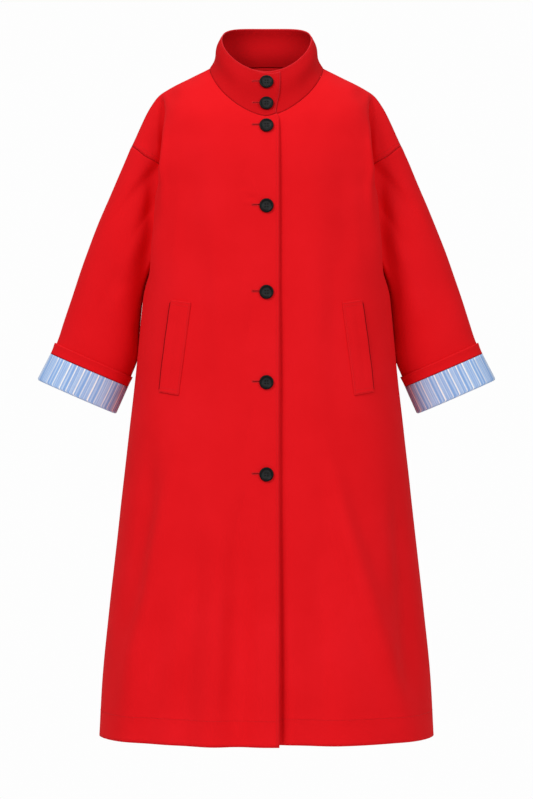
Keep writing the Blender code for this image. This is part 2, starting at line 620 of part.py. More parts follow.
def button_mesh(black):
    """A turned disc with a raised rim and a dished middle, and four thread holes cut through."""
    radius, thick = BUTTON_DIAMETER / 2, BUTTON_THICKNESS
    profile = ((0.0, 0.0), (0.82 * radius, 0.0), (radius, 0.40 * thick), (0.96 * radius, 0.85 * thick),
               (0.86 * radius, thick), (0.70 * radius, 0.72 * thick), (0.0, 0.66 * thick))
    sides = 16
    rings = np.array(profile)[1:-1]
    angle = np.arange(sides) * 2 * math.pi / sides
    body = np.stack([rings[:, :1] * np.cos(angle), rings[:, :1] * np.sin(angle),
                     np.repeat(rings[:, 1:], sides, axis=1)], axis=-1)
    points = [(0, 0, profile[0][1]), (0, 0, profile[-1][1])] + body.reshape(-1, 3).tolist()
    first = 2
    last = first + (len(rings) - 1) * sides
    faces = []
    for i in range(sides):
        j = (i + 1) % sides
        faces.append((0, first + j, first + i))
        faces.append((1, last + i, last + j))
        for row in range(len(rings) - 1):
            low, high = first + row * sides, first + (row + 1) * sides
            faces.append((low + i, low + j, high + j, high + i))
    mesh = bpy.data.meshes.new("button_blank")
    mesh.from_pydata(points, [], faces)
    blank = add_object("button_blank", mesh)
    drills = bmesh.new()
    for step_x in (-1, 1):
        for step_y in (-1, 1):
            made = bmesh.ops.create_cone(drills, cap_ends=True, segments=6, radius1=BUTTON_HOLE / 2,
                                         radius2=BUTTON_HOLE / 2, depth=4 * thick)
            place = (step_x * BUTTON_HOLE_SPACING / 2, step_y * BUTTON_HOLE_SPACING / 2, 0)
            bmesh.ops.translate(drills, verts=made["verts"], vec=place)
    drill_mesh = bpy.data.meshes.new("button_drills")
    drills.to_mesh(drill_mesh)
    drills.free()
    drill = add_object("button_drills", drill_mesh)
    cut = blank.modifiers.new("holes", "BOOLEAN")
    cut.object = drill
    cut.solver = "EXACT"
    bpy.context.view_layer.update()
    evaluated = blank.evaluated_get(bpy.context.evaluated_depsgraph_get())
    drilled = bpy.data.meshes.new_from_object(evaluated)
    bpy.data.objects.remove(blank)
    bpy.data.objects.remove(drill)
    finish_mesh(drilled, black)
    drilled.name = "button"
    return drilled


def middle_front(height):
    """y of the outer face on the centre line: the collar above the neck seam, the lap below it."""
    seam_y = -float(body_depth(np.array([0.0]), np.array([NECK_FRONT_DROP]), "front")[0])
    rim_z = COLLAR_RIM["middle"] - COLLAR_RIM["tilt"] - COLLAR_RIM["wave"]
    rim_y = -COLLAR_RIM["half_depth"] - COLLAR_RIM["shift"]
    if height <= NECK_FRONT_DROP:
        return -float(body_depth(np.array([0.0]), np.array([height]), "front")[0])
    rise = (height - NECK_FRONT_DROP) / (rim_z - NECK_FRONT_DROP)
    return seam_y + rise * (rim_y - seam_y) + COLLAR_SWELL * math.sin(2 * math.pi * rise)


def make_buttons(black):
    """Seven buttons down the lap, each flat against the cloth behind it."""
    mesh = button_mesh(black)
    radius = BUTTON_DIAMETER / 2
    for number, height in enumerate(BUTTON_HEIGHTS, start=1):
        above, below = middle_front(height + radius), middle_front(height - radius)
        tilt = math.atan((above - below) / (2 * radius))
        proud = max(0.0, (above + below) / 2 - middle_front(height)) * math.cos(tilt)
        lift = BUTTON_LIFT + proud
        y = (above + below) / 2
        button = add_object(f"button_{number}", mesh)
        button.rotation_euler = (math.pi / 2 - tilt, 0.0, 0.0)
        button.location = (0.0, y - lift * math.cos(tilt), height + lift * math.sin(tilt))


def main():
    for item in list(bpy.data.objects):
        bpy.data.objects.remove(item)
    red = cloth_material("red_cotton_twill", RED, 0.75)
    red_facing = cloth_material("red_facing", RED_FACING, 0.75)
    lining = cloth_material("striped_lining", STRIPE_BLUE, 0.70)
    black = cloth_material("black_button", BUTTON_BLACK, 0.35)
    make_shell(red)
    for side, sign in (("right", -1), ("left", 1)):
        make_cuff(side, sign, red_facing, lining)
        make_welt(side, sign, red)
    make_buttons(black)


main()
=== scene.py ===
"""The looks of a long red cotton coat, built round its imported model.

The coat is put together here as a maker would: fronts and back, sleeves, collar, turned-back
cuffs, pocket welts, stitching, buttonholes and buttons. Metres, +Z up, the front faces -Y.
"""

import json
import math

import bpy
import numpy as np
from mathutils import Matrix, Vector
from mathutils.bvhtree import BVHTree

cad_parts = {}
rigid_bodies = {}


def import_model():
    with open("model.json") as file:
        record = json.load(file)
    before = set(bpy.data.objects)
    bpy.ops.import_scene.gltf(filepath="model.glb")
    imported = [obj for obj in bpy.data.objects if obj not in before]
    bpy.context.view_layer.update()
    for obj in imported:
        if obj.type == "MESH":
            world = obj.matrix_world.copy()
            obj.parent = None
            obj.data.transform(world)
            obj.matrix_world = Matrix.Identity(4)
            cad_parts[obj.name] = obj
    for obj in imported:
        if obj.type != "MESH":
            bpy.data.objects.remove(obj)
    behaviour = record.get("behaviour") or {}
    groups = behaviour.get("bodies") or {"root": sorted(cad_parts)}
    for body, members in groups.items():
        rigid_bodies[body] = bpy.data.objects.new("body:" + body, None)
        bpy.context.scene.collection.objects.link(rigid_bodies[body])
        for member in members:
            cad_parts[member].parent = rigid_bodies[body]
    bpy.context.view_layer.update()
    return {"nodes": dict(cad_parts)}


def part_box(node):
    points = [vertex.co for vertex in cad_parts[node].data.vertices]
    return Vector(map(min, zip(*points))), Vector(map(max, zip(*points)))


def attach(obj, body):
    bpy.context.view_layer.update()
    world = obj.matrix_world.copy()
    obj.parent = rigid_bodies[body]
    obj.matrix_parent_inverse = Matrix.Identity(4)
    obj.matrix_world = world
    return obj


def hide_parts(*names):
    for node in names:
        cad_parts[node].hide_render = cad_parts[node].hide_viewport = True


for item in list(bpy.data.objects):
    bpy.data.objects.remove(item)
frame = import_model()


# ==== Fronts and back =========================================================================
# The two fronts and the back are cut from a firm red cotton twill and hang as an A-line from the
# shoulders. The right front laps over the left. Each panel is a wall of cloth on the form of its
# solid: cross-sections of the body joined up the coat, with soft folds that run to the hem.

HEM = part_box("back")[0].z
CLOTH = 0.0015
BODY_COLUMNS = ("height", "half_width", "front_depth", "back_depth", "squareness")
BODY_SECTIONS = (
    (HEM, 0.2822, 0.200, 0.198, 2.0),
    (-1.0334, 0.2772, 0.194, 0.190, 2.1),
    (-0.8983, 0.2636, 0.184, 0.176, 2.3),
    (-0.7630, 0.2484, 0.173, 0.162, 2.4),
    (-0.6278, 0.2332, 0.163, 0.151, 2.5),
    (-0.5095, 0.2197, 0.155, 0.143, 2.6),
    (-0.3743, 0.2062, 0.147, 0.140, 2.7),
    (-0.2898, 0.1927, 0.142, 0.142, 2.9),
    (-0.2138, 0.1860, 0.138, 0.143, 3.0),
    (-0.1293, 0.1783, 0.128, 0.135, 3.0),
    (-0.0668, 0.1766, 0.101, 0.117, 2.8),
    (-0.0532, 0.1790, 0.088, 0.111, 2.5),
    (-0.0397, 0.1758, 0.074, 0.104, 2.5),
    (-0.0262, 0.1487, 0.059, 0.095, 2.5),
    (-0.0127, 0.1217, 0.041, 0.084, 2.4),
    (0.0000, 0.0963, 0.026, 0.075, 2.4),
    (0.0090, 0.0783, 0.022, 0.070, 2.4),
    (0.0200, 0.0560, 0.020, 0.062, 2.4),
)
SHOULDER_JOINT = (0.1446, -0.0912)      # the upper arm's top under the dropped shoulder
ARM_SLOPE = math.radians(24.0)
CAP_HALF_WIDTH = 0.060
CAP_DEPTH = {"front": 0.034, "back": 0.052}
CAP_FADE = (0.105, 0.175)
CREASE_SHARPNESS = 12.0                 # of the valley between the chest and the arm

# The arm presses the side in behind the chest's edge, which stands out over the sleeve.
PRESS = 0.028
PRESS_TOP, PRESS_BOTTOM = (0.075, 0.160), (0.292, 0.392)
PRESS_KEPT = 0.56
PRESS_DEPTH = (-0.10, -0.03, 0.05, 0.13)

SHOULDER_COLUMNS = ("share", "width", "height")
SHOULDER_SEAM = (
    (0.00, 0.0963, 0.0000),
    (0.22, 0.1330, -0.0185),
    (0.42, 0.1655, -0.0350),
    (0.56, 0.1830, -0.0472),
    (0.68, 0.1955, -0.0640),
    (1.00, 0.2280, -0.1311),
)
ARMHOLE_COLUMNS = ("turn", "width", "height")
ARMHOLE_SEAM = (
    (0.0, 0.2280, -0.1311),
    (30.0, 0.2060, -0.1495),
    (60.0, 0.1850, -0.1730),
    (90.0, 0.1850, -0.2060),
    (120.0, 0.1862, -0.2400),
    (150.0, 0.1894, -0.2700),
    (180.0, 0.1924, -0.2870),
)
NECK_HALF_WIDTH = 0.0963
NECK_FRONT_DROP = -0.091
NECK_BACK_RISE = 0.009
NECK_ROUNDNESS = 1.58
NECK_FAN, NECK_FAN_SHARE = 0.13, 0.13   # the rows bow out below the neck point

RIGHT_EDGE, LEFT_EDGE = -0.021, -0.022  # front edges, past the centre line to the other side
LAP_DROP = 0.0026                       # the left front lies this much deeper under the lap
LAP_BLEND = (0.024, 0.062)
UNDER_HEM_RISE = 0.0035
TUCK, TUCK_HEIGHT = 0.0052, -0.083      # the lap's corner at the neck seam is drawn in

# Large folds, as in the solids: ridges are positive, troughs negative, top end first.
# Columns: top_x, top_z, end_x, end_z, top_width, end_width, rise.
FOLDS = {"front": (
    (-0.146, -0.700, -0.250, -1.120, 0.020, 0.034, 0.013),
    (-0.075, -0.720, -0.088, -1.120, 0.018, 0.030, 0.008),
    (-0.185, -0.720, -0.192, -1.120, 0.020, 0.030, -0.008),
    (-0.028, -0.780, -0.046, -1.120, 0.018, 0.026, -0.008),
    (0.104, -0.700, 0.262, -1.120, 0.020, 0.036, 0.014),
    (0.236, -0.780, 0.232, -1.040, 0.020, 0.030, -0.007),
    (0.060, -0.740, 0.070, -1.120, 0.018, 0.030, -0.006),
    (-0.125, -0.080, -0.130, -0.330, 0.022, 0.022, -0.006),
    (0.125, -0.080, 0.132, -0.330, 0.022, 0.022, -0.006),
), "back": (
    (-0.120, -0.560, -0.205, -1.120, 0.022, 0.040, 0.014),
    (-0.030, -0.640, -0.060, -1.120, 0.022, 0.036, -0.010),
    (0.050, -0.600, 0.095, -1.120, 0.022, 0.038, 0.011),
    (0.150, -0.620, 0.190, -1.120, 0.022, 0.034, -0.009),
    (0.185, -0.640, 0.252, -1.120, 0.020, 0.034, 0.010),
    (-0.115, -0.120, -0.100, -0.360, 0.024, 0.024, -0.006),
    (0.118, -0.120, 0.105, -0.360, 0.024, 0.024, -0.006),
)}

# Smaller creases, seen from the front or the back: start, end, sideways bow, widths, height.
# Columns: x0, z0, x1, z1, bow, width0, width1, height.
FRONT_CREASES = (
    # drag lines that run down and out from the lower buttons
    (-0.030, -0.700, -0.056, -0.830, 0.004, 0.007, 0.014, -0.0016),
    (-0.010, -0.720, -0.034, -0.850, -0.003, 0.007, 0.012, 0.0012),
    (-0.016, -0.560, -0.034, -0.650, 0.003, 0.006, 0.011, -0.0010),
    (-0.018, -0.400, -0.032, -0.480, 0.002, 0.006, 0.010, -0.0008),
    # short pulls off the buttonholes' ends
    (-0.020, -0.086, -0.036, -0.081, 0.001, 0.0025, 0.0050, 0.0006),
    (-0.020, -0.104, -0.034, -0.110, 0.001, 0.0025, 0.0050, 0.0006),
    (-0.020, -0.225, -0.040, -0.214, 0.001, 0.0030, 0.0060, 0.0009),
    (-0.020, -0.232, -0.038, -0.240, 0.001, 0.0030, 0.0060, 0.0007),
    (-0.020, -0.372, -0.038, -0.364, 0.001, 0.0030, 0.0060, 0.0007),
    (-0.020, -0.378, -0.036, -0.386, 0.001, 0.0030, 0.0060, 0.0006),
    (-0.020, -0.524, -0.038, -0.516, 0.001, 0.0030, 0.0060, 0.0007),
    (-0.020, -0.531, -0.036, -0.540, 0.001, 0.0030, 0.0060, 0.0006),
    (-0.018, -0.680, -0.036, -0.672, 0.001, 0.0030, 0.0060, 0.0006),
    # from button four up towards the shoulder, and from button three to the neck seam
    (-0.008, -0.232, -0.030, -0.180, -0.003, 0.004, 0.010, 0.0010),
    (-0.014, -0.236, -0.042, -0.205, -0.002, 0.004, 0.009, -0.0009),
    (-0.010, -0.104, -0.036, -0.090, 0.002, 0.004, 0.007, 0.0007),
    # the fold where the arm meets the chest
    (-0.1830, -0.034, -0.1825, -0.205, -0.0085, 0.0040, 0.0060, -0.0150),
    (0.1830, -0.034, 0.1825, -0.205, 0.0085, 0.0040, 0.0060, -0.0150),
    (-0.1700, -0.050, -0.1715, -0.260, -0.0040, 0.0060, 0.0075, 0.0034),
    (0.1700, -0.050, 0.1715, -0.260, 0.0040, 0.0060, 0.0075, 0.0034),
    # skirt: long soft ridges and the troughs between them
    (-0.150, -0.660, -0.235, -1.110, 0.006, 0.016, 0.026, 0.0090),
    (-0.190, -0.640, -0.225, -0.960, -0.004, 0.014, 0.020, -0.0072),
    (-0.110, -0.760, -0.140, -1.180, 0.004, 0.016, 0.024, -0.0076),
    (-0.038, -0.740, -0.052, -1.180, 0.004, 0.020, 0.034, -0.0095),
    (0.100, -0.640, 0.240, -1.120, 0.010, 0.016, 0.026, 0.0099),
    (0.215, -0.700, 0.236, -1.060, -0.004, 0.014, 0.020, -0.0081),
    (0.085, -0.800, 0.110, -1.180, 0.004, 0.018, 0.026, -0.0068),
    # soft vertical bands of the chest and waist
    (-0.070, -0.180, -0.078, -0.560, 0.006, 0.022, 0.030, 0.0035),
    (-0.105, -0.320, -0.118, -0.700, -0.006, 0.018, 0.026, -0.0032),
    (0.072, -0.160, 0.082, -0.520, -0.005, 0.022, 0.028, 0.0032),
    (0.110, -0.330, 0.122, -0.690, 0.005, 0.018, 0.026, -0.0029),
    (0.040, -0.420, 0.052, -0.760, 0.004, 0.016, 0.024, -0.0024),
)
# The left front falls back beside the lap, further and further towards the hem.
LAP_CREASES = (
    (0.0225, -0.060, 0.0225, -0.560, 0.0, 0.0055, 0.0060, -0.0040),
    (0.0225, -0.420, 0.0225, -0.900, 0.0, 0.0060, 0.0070, -0.0060),
    (0.0230, -0.800, 0.0235, -1.400, 0.0, 0.0070, 0.0110, -0.0130),
)
BACK_CREASES = (
    (-0.020, -0.130, -0.028, -0.520, 0.008, 0.022, 0.030, 0.0022),
    (0.060, -0.170, 0.050, -0.480, -0.006, 0.020, 0.026, -0.0018),
    (-0.085, -0.300, -0.110, -0.640, 0.006, 0.018, 0.028, -0.0020),
    (0.105, -0.330, 0.130, -0.660, -0.005, 0.018, 0.026, 0.0018),
    (-0.150, -0.330, -0.120, -0.430, 0.004, 0.009, 0.014, 0.0012),
    (0.152, -0.340, 0.118, -0.440, -0.004, 0.009, 0.014, -0.0012),
)

FRONT_CELLS, FRONT_NECK_CELLS = 105, 49     # across half the body, and those under the neck seam
BACK_CELLS, BACK_NECK_CELLS = 91, 35
SKIRT_CELLS, YOKE_CELLS = 136, 96           # hem to underarm, underarm to shoulder
SOLID_FRONT_SPANS = 15                      # the solids' own spans, for the ease at the neck point
SOLID_BACK_SPANS = 13
SETTLING = 24
SEAM_DENT = 0.0005
EDGE_STITCH = 0.005                         # topstitching, in from a free edge
HEM_DEPTH = 0.0425
ARMHOLE_STITCHES = (0.0035, 0.0085)


def read_table(columns, rows):
    """A table as one array for each named column."""
    return dict(zip(columns, np.array(rows, dtype=float).T))


def along(table, key, name, at):
    """Column `name` where `key` is `at`: a cubic Hermite curve with the table's mean slopes."""
    x, y = table[key], table[name]
    slope = np.gradient(y, x)
    at = np.clip(at, x[0], x[-1])
    i = np.clip(np.searchsorted(x, at) - 1, 0, len(x) - 2)
    step = x[i + 1] - x[i]
    t = (at - x[i]) / step
    start = (1 + 2 * t) * (1 - t) ** 2 * y[i] + t * (1 - t) ** 2 * step * slope[i]
    end = t * t * (3 - 2 * t) * y[i + 1] + t * t * (t - 1) * step * slope[i + 1]
    return start + end


def ease(value, low, high):
    """0 below `low`, 1 above `high` and 3t^2 - 2t^3 between."""
    t = np.clip((value - low) / (high - low), 0.0, 1.0)
    return t * t * (3 - 2 * t)


def unit(vectors):
    """Vectors of length 1 along the last axis."""
    return vectors / np.maximum(np.linalg.norm(vectors, axis=-1, keepdims=True), 1e-12)


BODY = read_table(BODY_COLUMNS, BODY_SECTIONS)
SHOULDER = read_table(SHOULDER_COLUMNS, SHOULDER_SEAM)
ARMHOLE = read_table(ARMHOLE_COLUMNS, ARMHOLE_SEAM)


def tuck_corner(points):
    """Draws the lapped edge in at the neck seam, where its corner is turned and pulled."""
    x, y, z = np.moveaxis(points, -1, 0)
    off = z - TUCK_HEIGHT
    pull = TUCK * np.exp(-(off / np.where(off > 0, 0.020, 0.007)) ** 2)
    pull = pull * ease(x, -0.02, 0.021) * (1 - ease(x, 0.022, 0.03)) * (y < -0.02)
    return points - pull[..., None] * np.array([1.0, 0.0, 0.0])


def fold_rise(x, z, side):
    """Sum of the large folds: rise * exp(-(distance across / width)^2), eased in from the top."""
    total = np.zeros_like(x)
    for top_x, top_z, end_x, end_z, top_width, end_width, rise in FOLDS[side]:
        run = (top_z - z) / (top_z - end_z)
        kept = np.clip(run, 0.0, 1.0)
        centre = top_x + kept * (end_x - top_x)
        width = top_width + kept * (end_width - top_width)
        fade = ease(run, 0.0, 0.55)
        if end_z > HEM + 0.01:
            fade = fade * (1 - ease(run, 0.75, 1.25))
        total += rise * fade * np.exp(-((x - centre) / width) ** 2)
    return total


def body_depth(x, z, side):
    """Depth off the plane y = 0: depth * (1 - |x / half width|^n)^(1/n) for the chest, a
    round-ended form for the upper arm, and a power mean that joins them with a crease."""
    half = along(BODY, "height", "half_width", z)
    power = along(BODY, "height", "squareness", z)
    inside = np.clip(1 - (np.abs(x) / half) ** power, 0.0, 1.0)
    chest = along(BODY, "height", side + "_depth", z) * inside ** (1 / power)
    out = np.abs(x) - SHOULDER_JOINT[0]
    down = SHOULDER_JOINT[1] - z
    run = out * math.sin(ARM_SLOPE) + down * math.cos(ARM_SLOPE)
    across = out * math.cos(ARM_SLOPE) - down * math.sin(ARM_SLOPE)
    reach = np.hypot(np.minimum(run, 0.0), across) / CAP_HALF_WIDTH
    cap = CAP_DEPTH[side] * np.sqrt(np.clip(1 - reach ** 2, 0.0, 1.0)) * (1 - ease(run, *CAP_FADE))
    form = (chest ** CREASE_SHARPNESS + cap ** CREASE_SHARPNESS) ** (1 / CREASE_SHARPNESS)
    return form + fold_rise(x, z, side) * inside ** 0.5


def neck_line(turn, side):
    """Neck seam seen from the front, x and z, at `turn` radians from the centre line."""
    if side == "front":
        power = 2 / NECK_ROUNDNESS
        x = NECK_HALF_WIDTH * np.sign(turn) * np.abs(np.sin(turn)) ** power
        return x, NECK_FRONT_DROP * np.abs(np.cos(turn)) ** power
    return NECK_HALF_WIDTH * np.sin(turn), NECK_BACK_RISE * np.cos(turn) ** 2


def neck_turns(edge_x, cells, side):
    """Even turns from the edge at `edge_x` to the neck point."""
    first = math.copysign((abs(edge_x) / NECK_HALF_WIDTH) ** (NECK_ROUNDNESS / 2), edge_x)
    start = math.asin(first) if side == "front" else 0.0
    return np.linspace(start, math.pi / 2, cells + 1)


def half_panel(edge_x, side, cells, neck_cells):
    """Outer face of half the body as a grid of points: rows from the hem up, columns from
    `edge_x` out to the side. Level rows rise by degrees to the neck and shoulder seams."""
    share = np.linspace(0, 1, cells + 1)
    spread = np.sin(share * math.pi / 2)
    underarm_x, underarm_z = ARMHOLE["width"][-1], ARMHOLE["height"][-1]
    skirt_z = np.linspace(HEM, underarm_z, SKIRT_CELLS + 1)
    skirt_half = along(BODY, "height", "half_width", skirt_z)
    skirt_half += (underarm_x - skirt_half[-1]) * ease(np.arange(SKIRT_CELLS + 1), SKIRT_CELLS - 8, SKIRT_CELLS)
    skirt_x = edge_x + (skirt_half[:, None] - edge_x) * spread
    skirt = np.stack([skirt_x, np.repeat(skirt_z[:, None], cells + 1, axis=1)], axis=-1)

    neck = np.stack(neck_line(neck_turns(edge_x, neck_cells, side), side), axis=-1)
    reach = np.linspace(0, 1, cells - neck_cells + 1)[1:]
    shoulder = np.stack([along(SHOULDER, "share", "width", reach),
                         along(SHOULDER, "share", "height", reach)], axis=-1)
    top = np.concatenate([neck, shoulder])
    turn = np.linspace(180, 0, YOKE_CELLS + 1)
    armhole = np.stack([along(ARMHOLE, "turn", "width", turn),
                        along(ARMHOLE, "turn", "height", turn)], axis=-1)
    even = np.linspace(0, 1, YOKE_CELLS + 1)[:, None]
    crowded = np.sin(even * math.pi / 2)
    rise = (even + (crowded - even) * ease(share, 0.2, 0.6))[..., None]
    low = skirt[-1]
    straight = (1 - rise[:, -1]) * low[-1] + rise[:, -1] * top[-1]
    yoke = (1 - rise) * low + rise * top + share[:, None] ** 1.5 * (armhole - straight)[:, None]
    bow = np.exp(-((share - neck_cells / cells) / NECK_FAN_SHARE) ** 2)
    yoke[..., 0] += NECK_FAN * bow * rise[..., 0] ** 2 * (1 - rise[..., 0])
    x, z = np.moveaxis(np.concatenate([skirt, yoke[1:]]), -1, 0)

    depth = body_depth(x, z, side)
    closing = ease(np.arange(len(z)), SKIRT_CELLS + YOKE_CELLS * 0.72, SKIRT_CELLS + YOKE_CELLS)
    solid_spans = SOLID_FRONT_SPANS if side == "front" else SOLID_BACK_SPANS
    past_neck = ease((share - neck_cells / cells) * solid_spans, -0.2, 1.6)
    depth = np.maximum(depth - closing[:, None] * past_neck * depth[-1], 0.0)
    depth[-1, neck_cells:] = 0.0
    depth[:SKIRT_CELLS + 1, -1] = 0.0
    return x, z, depth


def press_in(points):
    """Moves a panel's points sideways: in at the side, where the arm is, and out at the chest."""
    width, y, below = np.abs(points[..., 0]), points[..., 1], -points[..., 2]
    half = along(BODY, "height", "half_width", points[..., 2])
    near_side = ease(width / half, 0.79, 1.0) * (1 - ease(width - half, 0.004, 0.03))
    at_arm = ease(y, *PRESS_DEPTH[:2]) * (1 - ease(y, *PRESS_DEPTH[2:]))
    strength = PRESS * ease(below, *PRESS_TOP) * (1 - ease(below, *PRESS_BOTTOM))
    shift = np.sign(points[..., 0]) * strength * near_side * (PRESS_KEPT - at_arm)
    return points + shift[..., None] * np.array([1.0, 0.0, 0.0])


def panel(sign, edge_x, side, cells, neck_cells):
    """One half panel on the wearer's right (sign -1) or left (+1), its folds on their own side."""
    x, z, depth = half_panel(edge_x, side, cells, neck_cells)
    mirrored = fold_rise(sign * x, z, side) - fold_rise(x, z, side)
    half = along(BODY, "height", "half_width", z)
    inside = np.clip(1 - (np.abs(x) / half) ** along(BODY, "height", "squareness", z), 0.0, 1.0)
    depth = depth + mirrored * inside ** 0.5 * (depth > 0)
    return press_in(np.stack([sign * x, -depth if side == "front" else depth, z], axis=-1))


def under_layer(points):
    """Sinks the wearer's left front where the right one lies over it."""
    sunk = LAP_DROP * (1 - ease(points[..., 0], *LAP_BLEND)) * (points[..., 1] < -0.03)
    return points + sunk[..., None] * np.array([0.0, 1.0, 0.0])


def face_normals(points, ring=False):
    """Unit normals of a grid from the cross product of its two directions, pointing outwards."""
    across = (np.roll(points, -1, axis=1) - np.roll(points, 1, axis=1) if ring
              else np.gradient(points, axis=1))
    normals = unit(np.cross(np.gradient(points, axis=0), across))
    away = points - (points.mean(axis=(0, 1)) if ring else 0.0)
    away[..., 2] = 0.0
    return normals if np.sum(normals * away) > 0 else -normals


def share_edge(first, second):
    """Both sides of a seam get the same normals along it."""
    mean = unit(first + second)
    first[...] = mean
    second[...] = mean


def distance_from(grid, axis, from_end=False):
    """Distance along the cloth from the first (or last) line of a grid, over rows or columns."""
    steps = np.linalg.norm(np.diff(grid, axis=axis), axis=-1)
    if from_end:
        steps = np.flip(steps, axis=axis)
    start = np.zeros_like(np.take(steps, [0], axis=axis))
    total = np.concatenate([start, np.cumsum(steps, axis=axis)], axis=axis)
    return np.flip(total, axis=axis) if from_end else total


def creases(x, z, table):
    """Soft ridges and troughs: height * exp(-(distance off a bowed line / width)^2), dying away
    at both ends of the line."""
    total = np.zeros_like(x)
    for x0, z0, x1, z1, bow, width0, width1, height in table:
        run_x, run_z = x1 - x0, z1 - z0
        length = math.hypot(run_x, run_z)
        t = ((x - x0) * run_x + (z - z0) * run_z) / length ** 2
        kept = np.clip(t, 0.0, 1.0)
        off = ((x - x0) * run_z - (z - z0) * run_x) / length - bow * 4 * kept * (1 - kept)
        width = width0 + kept * (width1 - width0)
        ends = ease(t, -0.12, 0.30) * (1 - ease(t, 0.70, 1.12))
        total += height * ends * np.exp(-(off / width) ** 2)
    return total


def slack(x, z, phase):
    """Faint unevenness of hung cloth: slow waves of 60 to 190 mm that never line up."""
    return (0.00055 * np.sin(52 * x + 9 * z + phase) * np.sin(17 * z + 2.1 * phase)
            + 0.00040 * np.sin(81 * x - 21 * z + 1.7 * phase)
            * np.sin(33 * z + 14 * x + 0.6 * phase))


def cloth_area(grid, ring=False):
    """Area of a grid of cloth: the two triangles of each cell."""
    if ring:
        grid = np.concatenate([grid, grid[:, :1]], axis=1)
    a, b, c, d = grid[:-1, :-1], grid[:-1, 1:], grid[1:, 1:], grid[1:, :-1]
    halves = np.linalg.norm(np.cross(b - a, c - a), axis=-1) + np.linalg.norm(np.cross(c - a, d - a), axis=-1)
    return float(halves.sum() / 2)


def cloth_piece(name, outer, inner, marks, material, ring=False):
    """A closed wall of cloth: the outer grid, the inner grid turned round, and a strip round each
    free edge. Its UV map is the flat cut in metres; marks are distances on the cloth."""
    rows, columns = outer.shape[:2]
    wide = np.concatenate([outer, outer[:, :1]], axis=1) if ring else outer
    cut = np.stack([distance_from(wide, 1), distance_from(wide, 0)], axis=-1)
    index = np.arange(rows * columns).reshape(rows, columns)
    index = np.concatenate([index, index[:, :1]], axis=1) if ring else index
    place = np.arange(cut.shape[0] * cut.shape[1]).reshape(cut.shape[:2])

    def cells(grid):
        corners = (grid[:-1, :-1], grid[:-1, 1:], grid[1:, 1:], grid[1:, :-1])
        return np.stack(corners, axis=-1).reshape(-1, 4)

    def strip(edge, far):
        return np.stack([edge[:-1], far[:-1], far[1:], edge[1:]], axis=-1)

    far = rows * columns
    faces = [cells(index), cells(index)[:, ::-1] + far, strip(index[0], index[0] + far),
             strip(index[-1][::-1], index[-1][::-1] + far)]
    spots = [cells(place), cells(place)[:, ::-1], strip(place[0], place[0]),
             strip(place[-1][::-1], place[-1][::-1])]
    if not ring:
        for edge, spot in ((index[:, 0][::-1], place[:, 0][::-1]), (index[:, -1], place[:, -1])):
            faces.append(strip(edge, edge + far))
            spots.append(strip(spot, spot))
    faces, spots = np.concatenate(faces), np.concatenate(spots)
    points = np.concatenate([outer.reshape(-1, 3), inner.reshape(-1, 3)])
    a, b, c = (points[faces[:rows, i]] for i in range(3))
    if np.sum(np.cross(b - a, c - a) * (points[faces[:rows, 0]] - points[faces[:rows, 0] + far])) < 0:
        faces, spots = faces[:, ::-1], spots[:, ::-1]

    mesh = bpy.data.meshes.new(name)
    mesh.vertices.add(len(points))
    mesh.vertices.foreach_set("co", points.ravel())
    mesh.loops.add(faces.size)
    mesh.loops.foreach_set("vertex_index", faces.ravel())
    mesh.polygons.add(len(faces))
    mesh.polygons.foreach_set("loop_start", np.arange(0, faces.size, 4))
    mesh.uv_layers.new(name="cut").data.foreach_set("uv", cut.reshape(-1, 2)[spots.ravel()].ravel())
    for mark, values in marks.items():
        layer = mesh.attributes.new(mark, "FLOAT", "POINT")
        layer.data.foreach_set("value", np.tile(values.ravel(), 2).astype(np.float32))
    mesh.update(calc_edges=True)
    mesh.shade_smooth()
    mesh.materials.append(material)
    return add_piece(name, mesh)


def add_piece(name, mesh):
    """A named piece that rides on the coat."""
    piece = bpy.data.objects.new(name, mesh)
    bpy.context.scene.collection.objects.link(piece)
    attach(piece, "root")
    return piece


def srgb(code, alpha=1.0):
    """An sRGB hex colour as linear RGBA."""
    values = [int(code[i:i + 2], 16) / 255 for i in (1, 3, 5)]
    return tuple(v / 12.92 if v <= 0.04045 else ((v + 0.055) / 1.055) ** 2.4 for v in values) + (alpha,)


def node(tree, kind, links=None, **settings):
    """Adds a node. Settings are its properties, or inputs as in_<n or name>; links are
    (input, socket) pairs."""
    made = tree.nodes.new(kind)
    for key, value in settings.items():
        if key.startswith("in_"):
            name = key[3:]
            made.inputs[int(name) if name.isdigit() else name.replace("_", " ")].default_value = value
        else:
            setattr(made, key, value)
    for socket, source in (links or {}).items():
        tree.links.new(source, made.inputs[socket])
    return made


def new_material(name):
    """An empty node material with its tree, its shader and its output joined."""
    material = bpy.data.materials.new(name)
    material.use_nodes = True
    tree = material.node_tree
    return material, tree, tree.nodes["Principled BSDF"]


def groove(tree, distance, at, width):
    """exp(-((distance - at) / width)^2): a narrow line on the cloth at a set distance."""
    off = node(tree, "ShaderNodeMath", {0: distance}, operation="SUBTRACT", in_1=at)
    over = node(tree, "ShaderNodeMath", {0: off.outputs[0]}, operation="DIVIDE", in_1=width)
    square = node(tree, "ShaderNodeMath", {0: over.outputs[0], 1: over.outputs[0]}, operation="MULTIPLY")
    minus = node(tree, "ShaderNodeMath", {0: square.outputs[0]}, operation="MULTIPLY", in_1=-1.0)
    return node(tree, "ShaderNodeMath", {1: minus.outputs[0]}, operation="POWER", in_0=math.e).outputs[0]


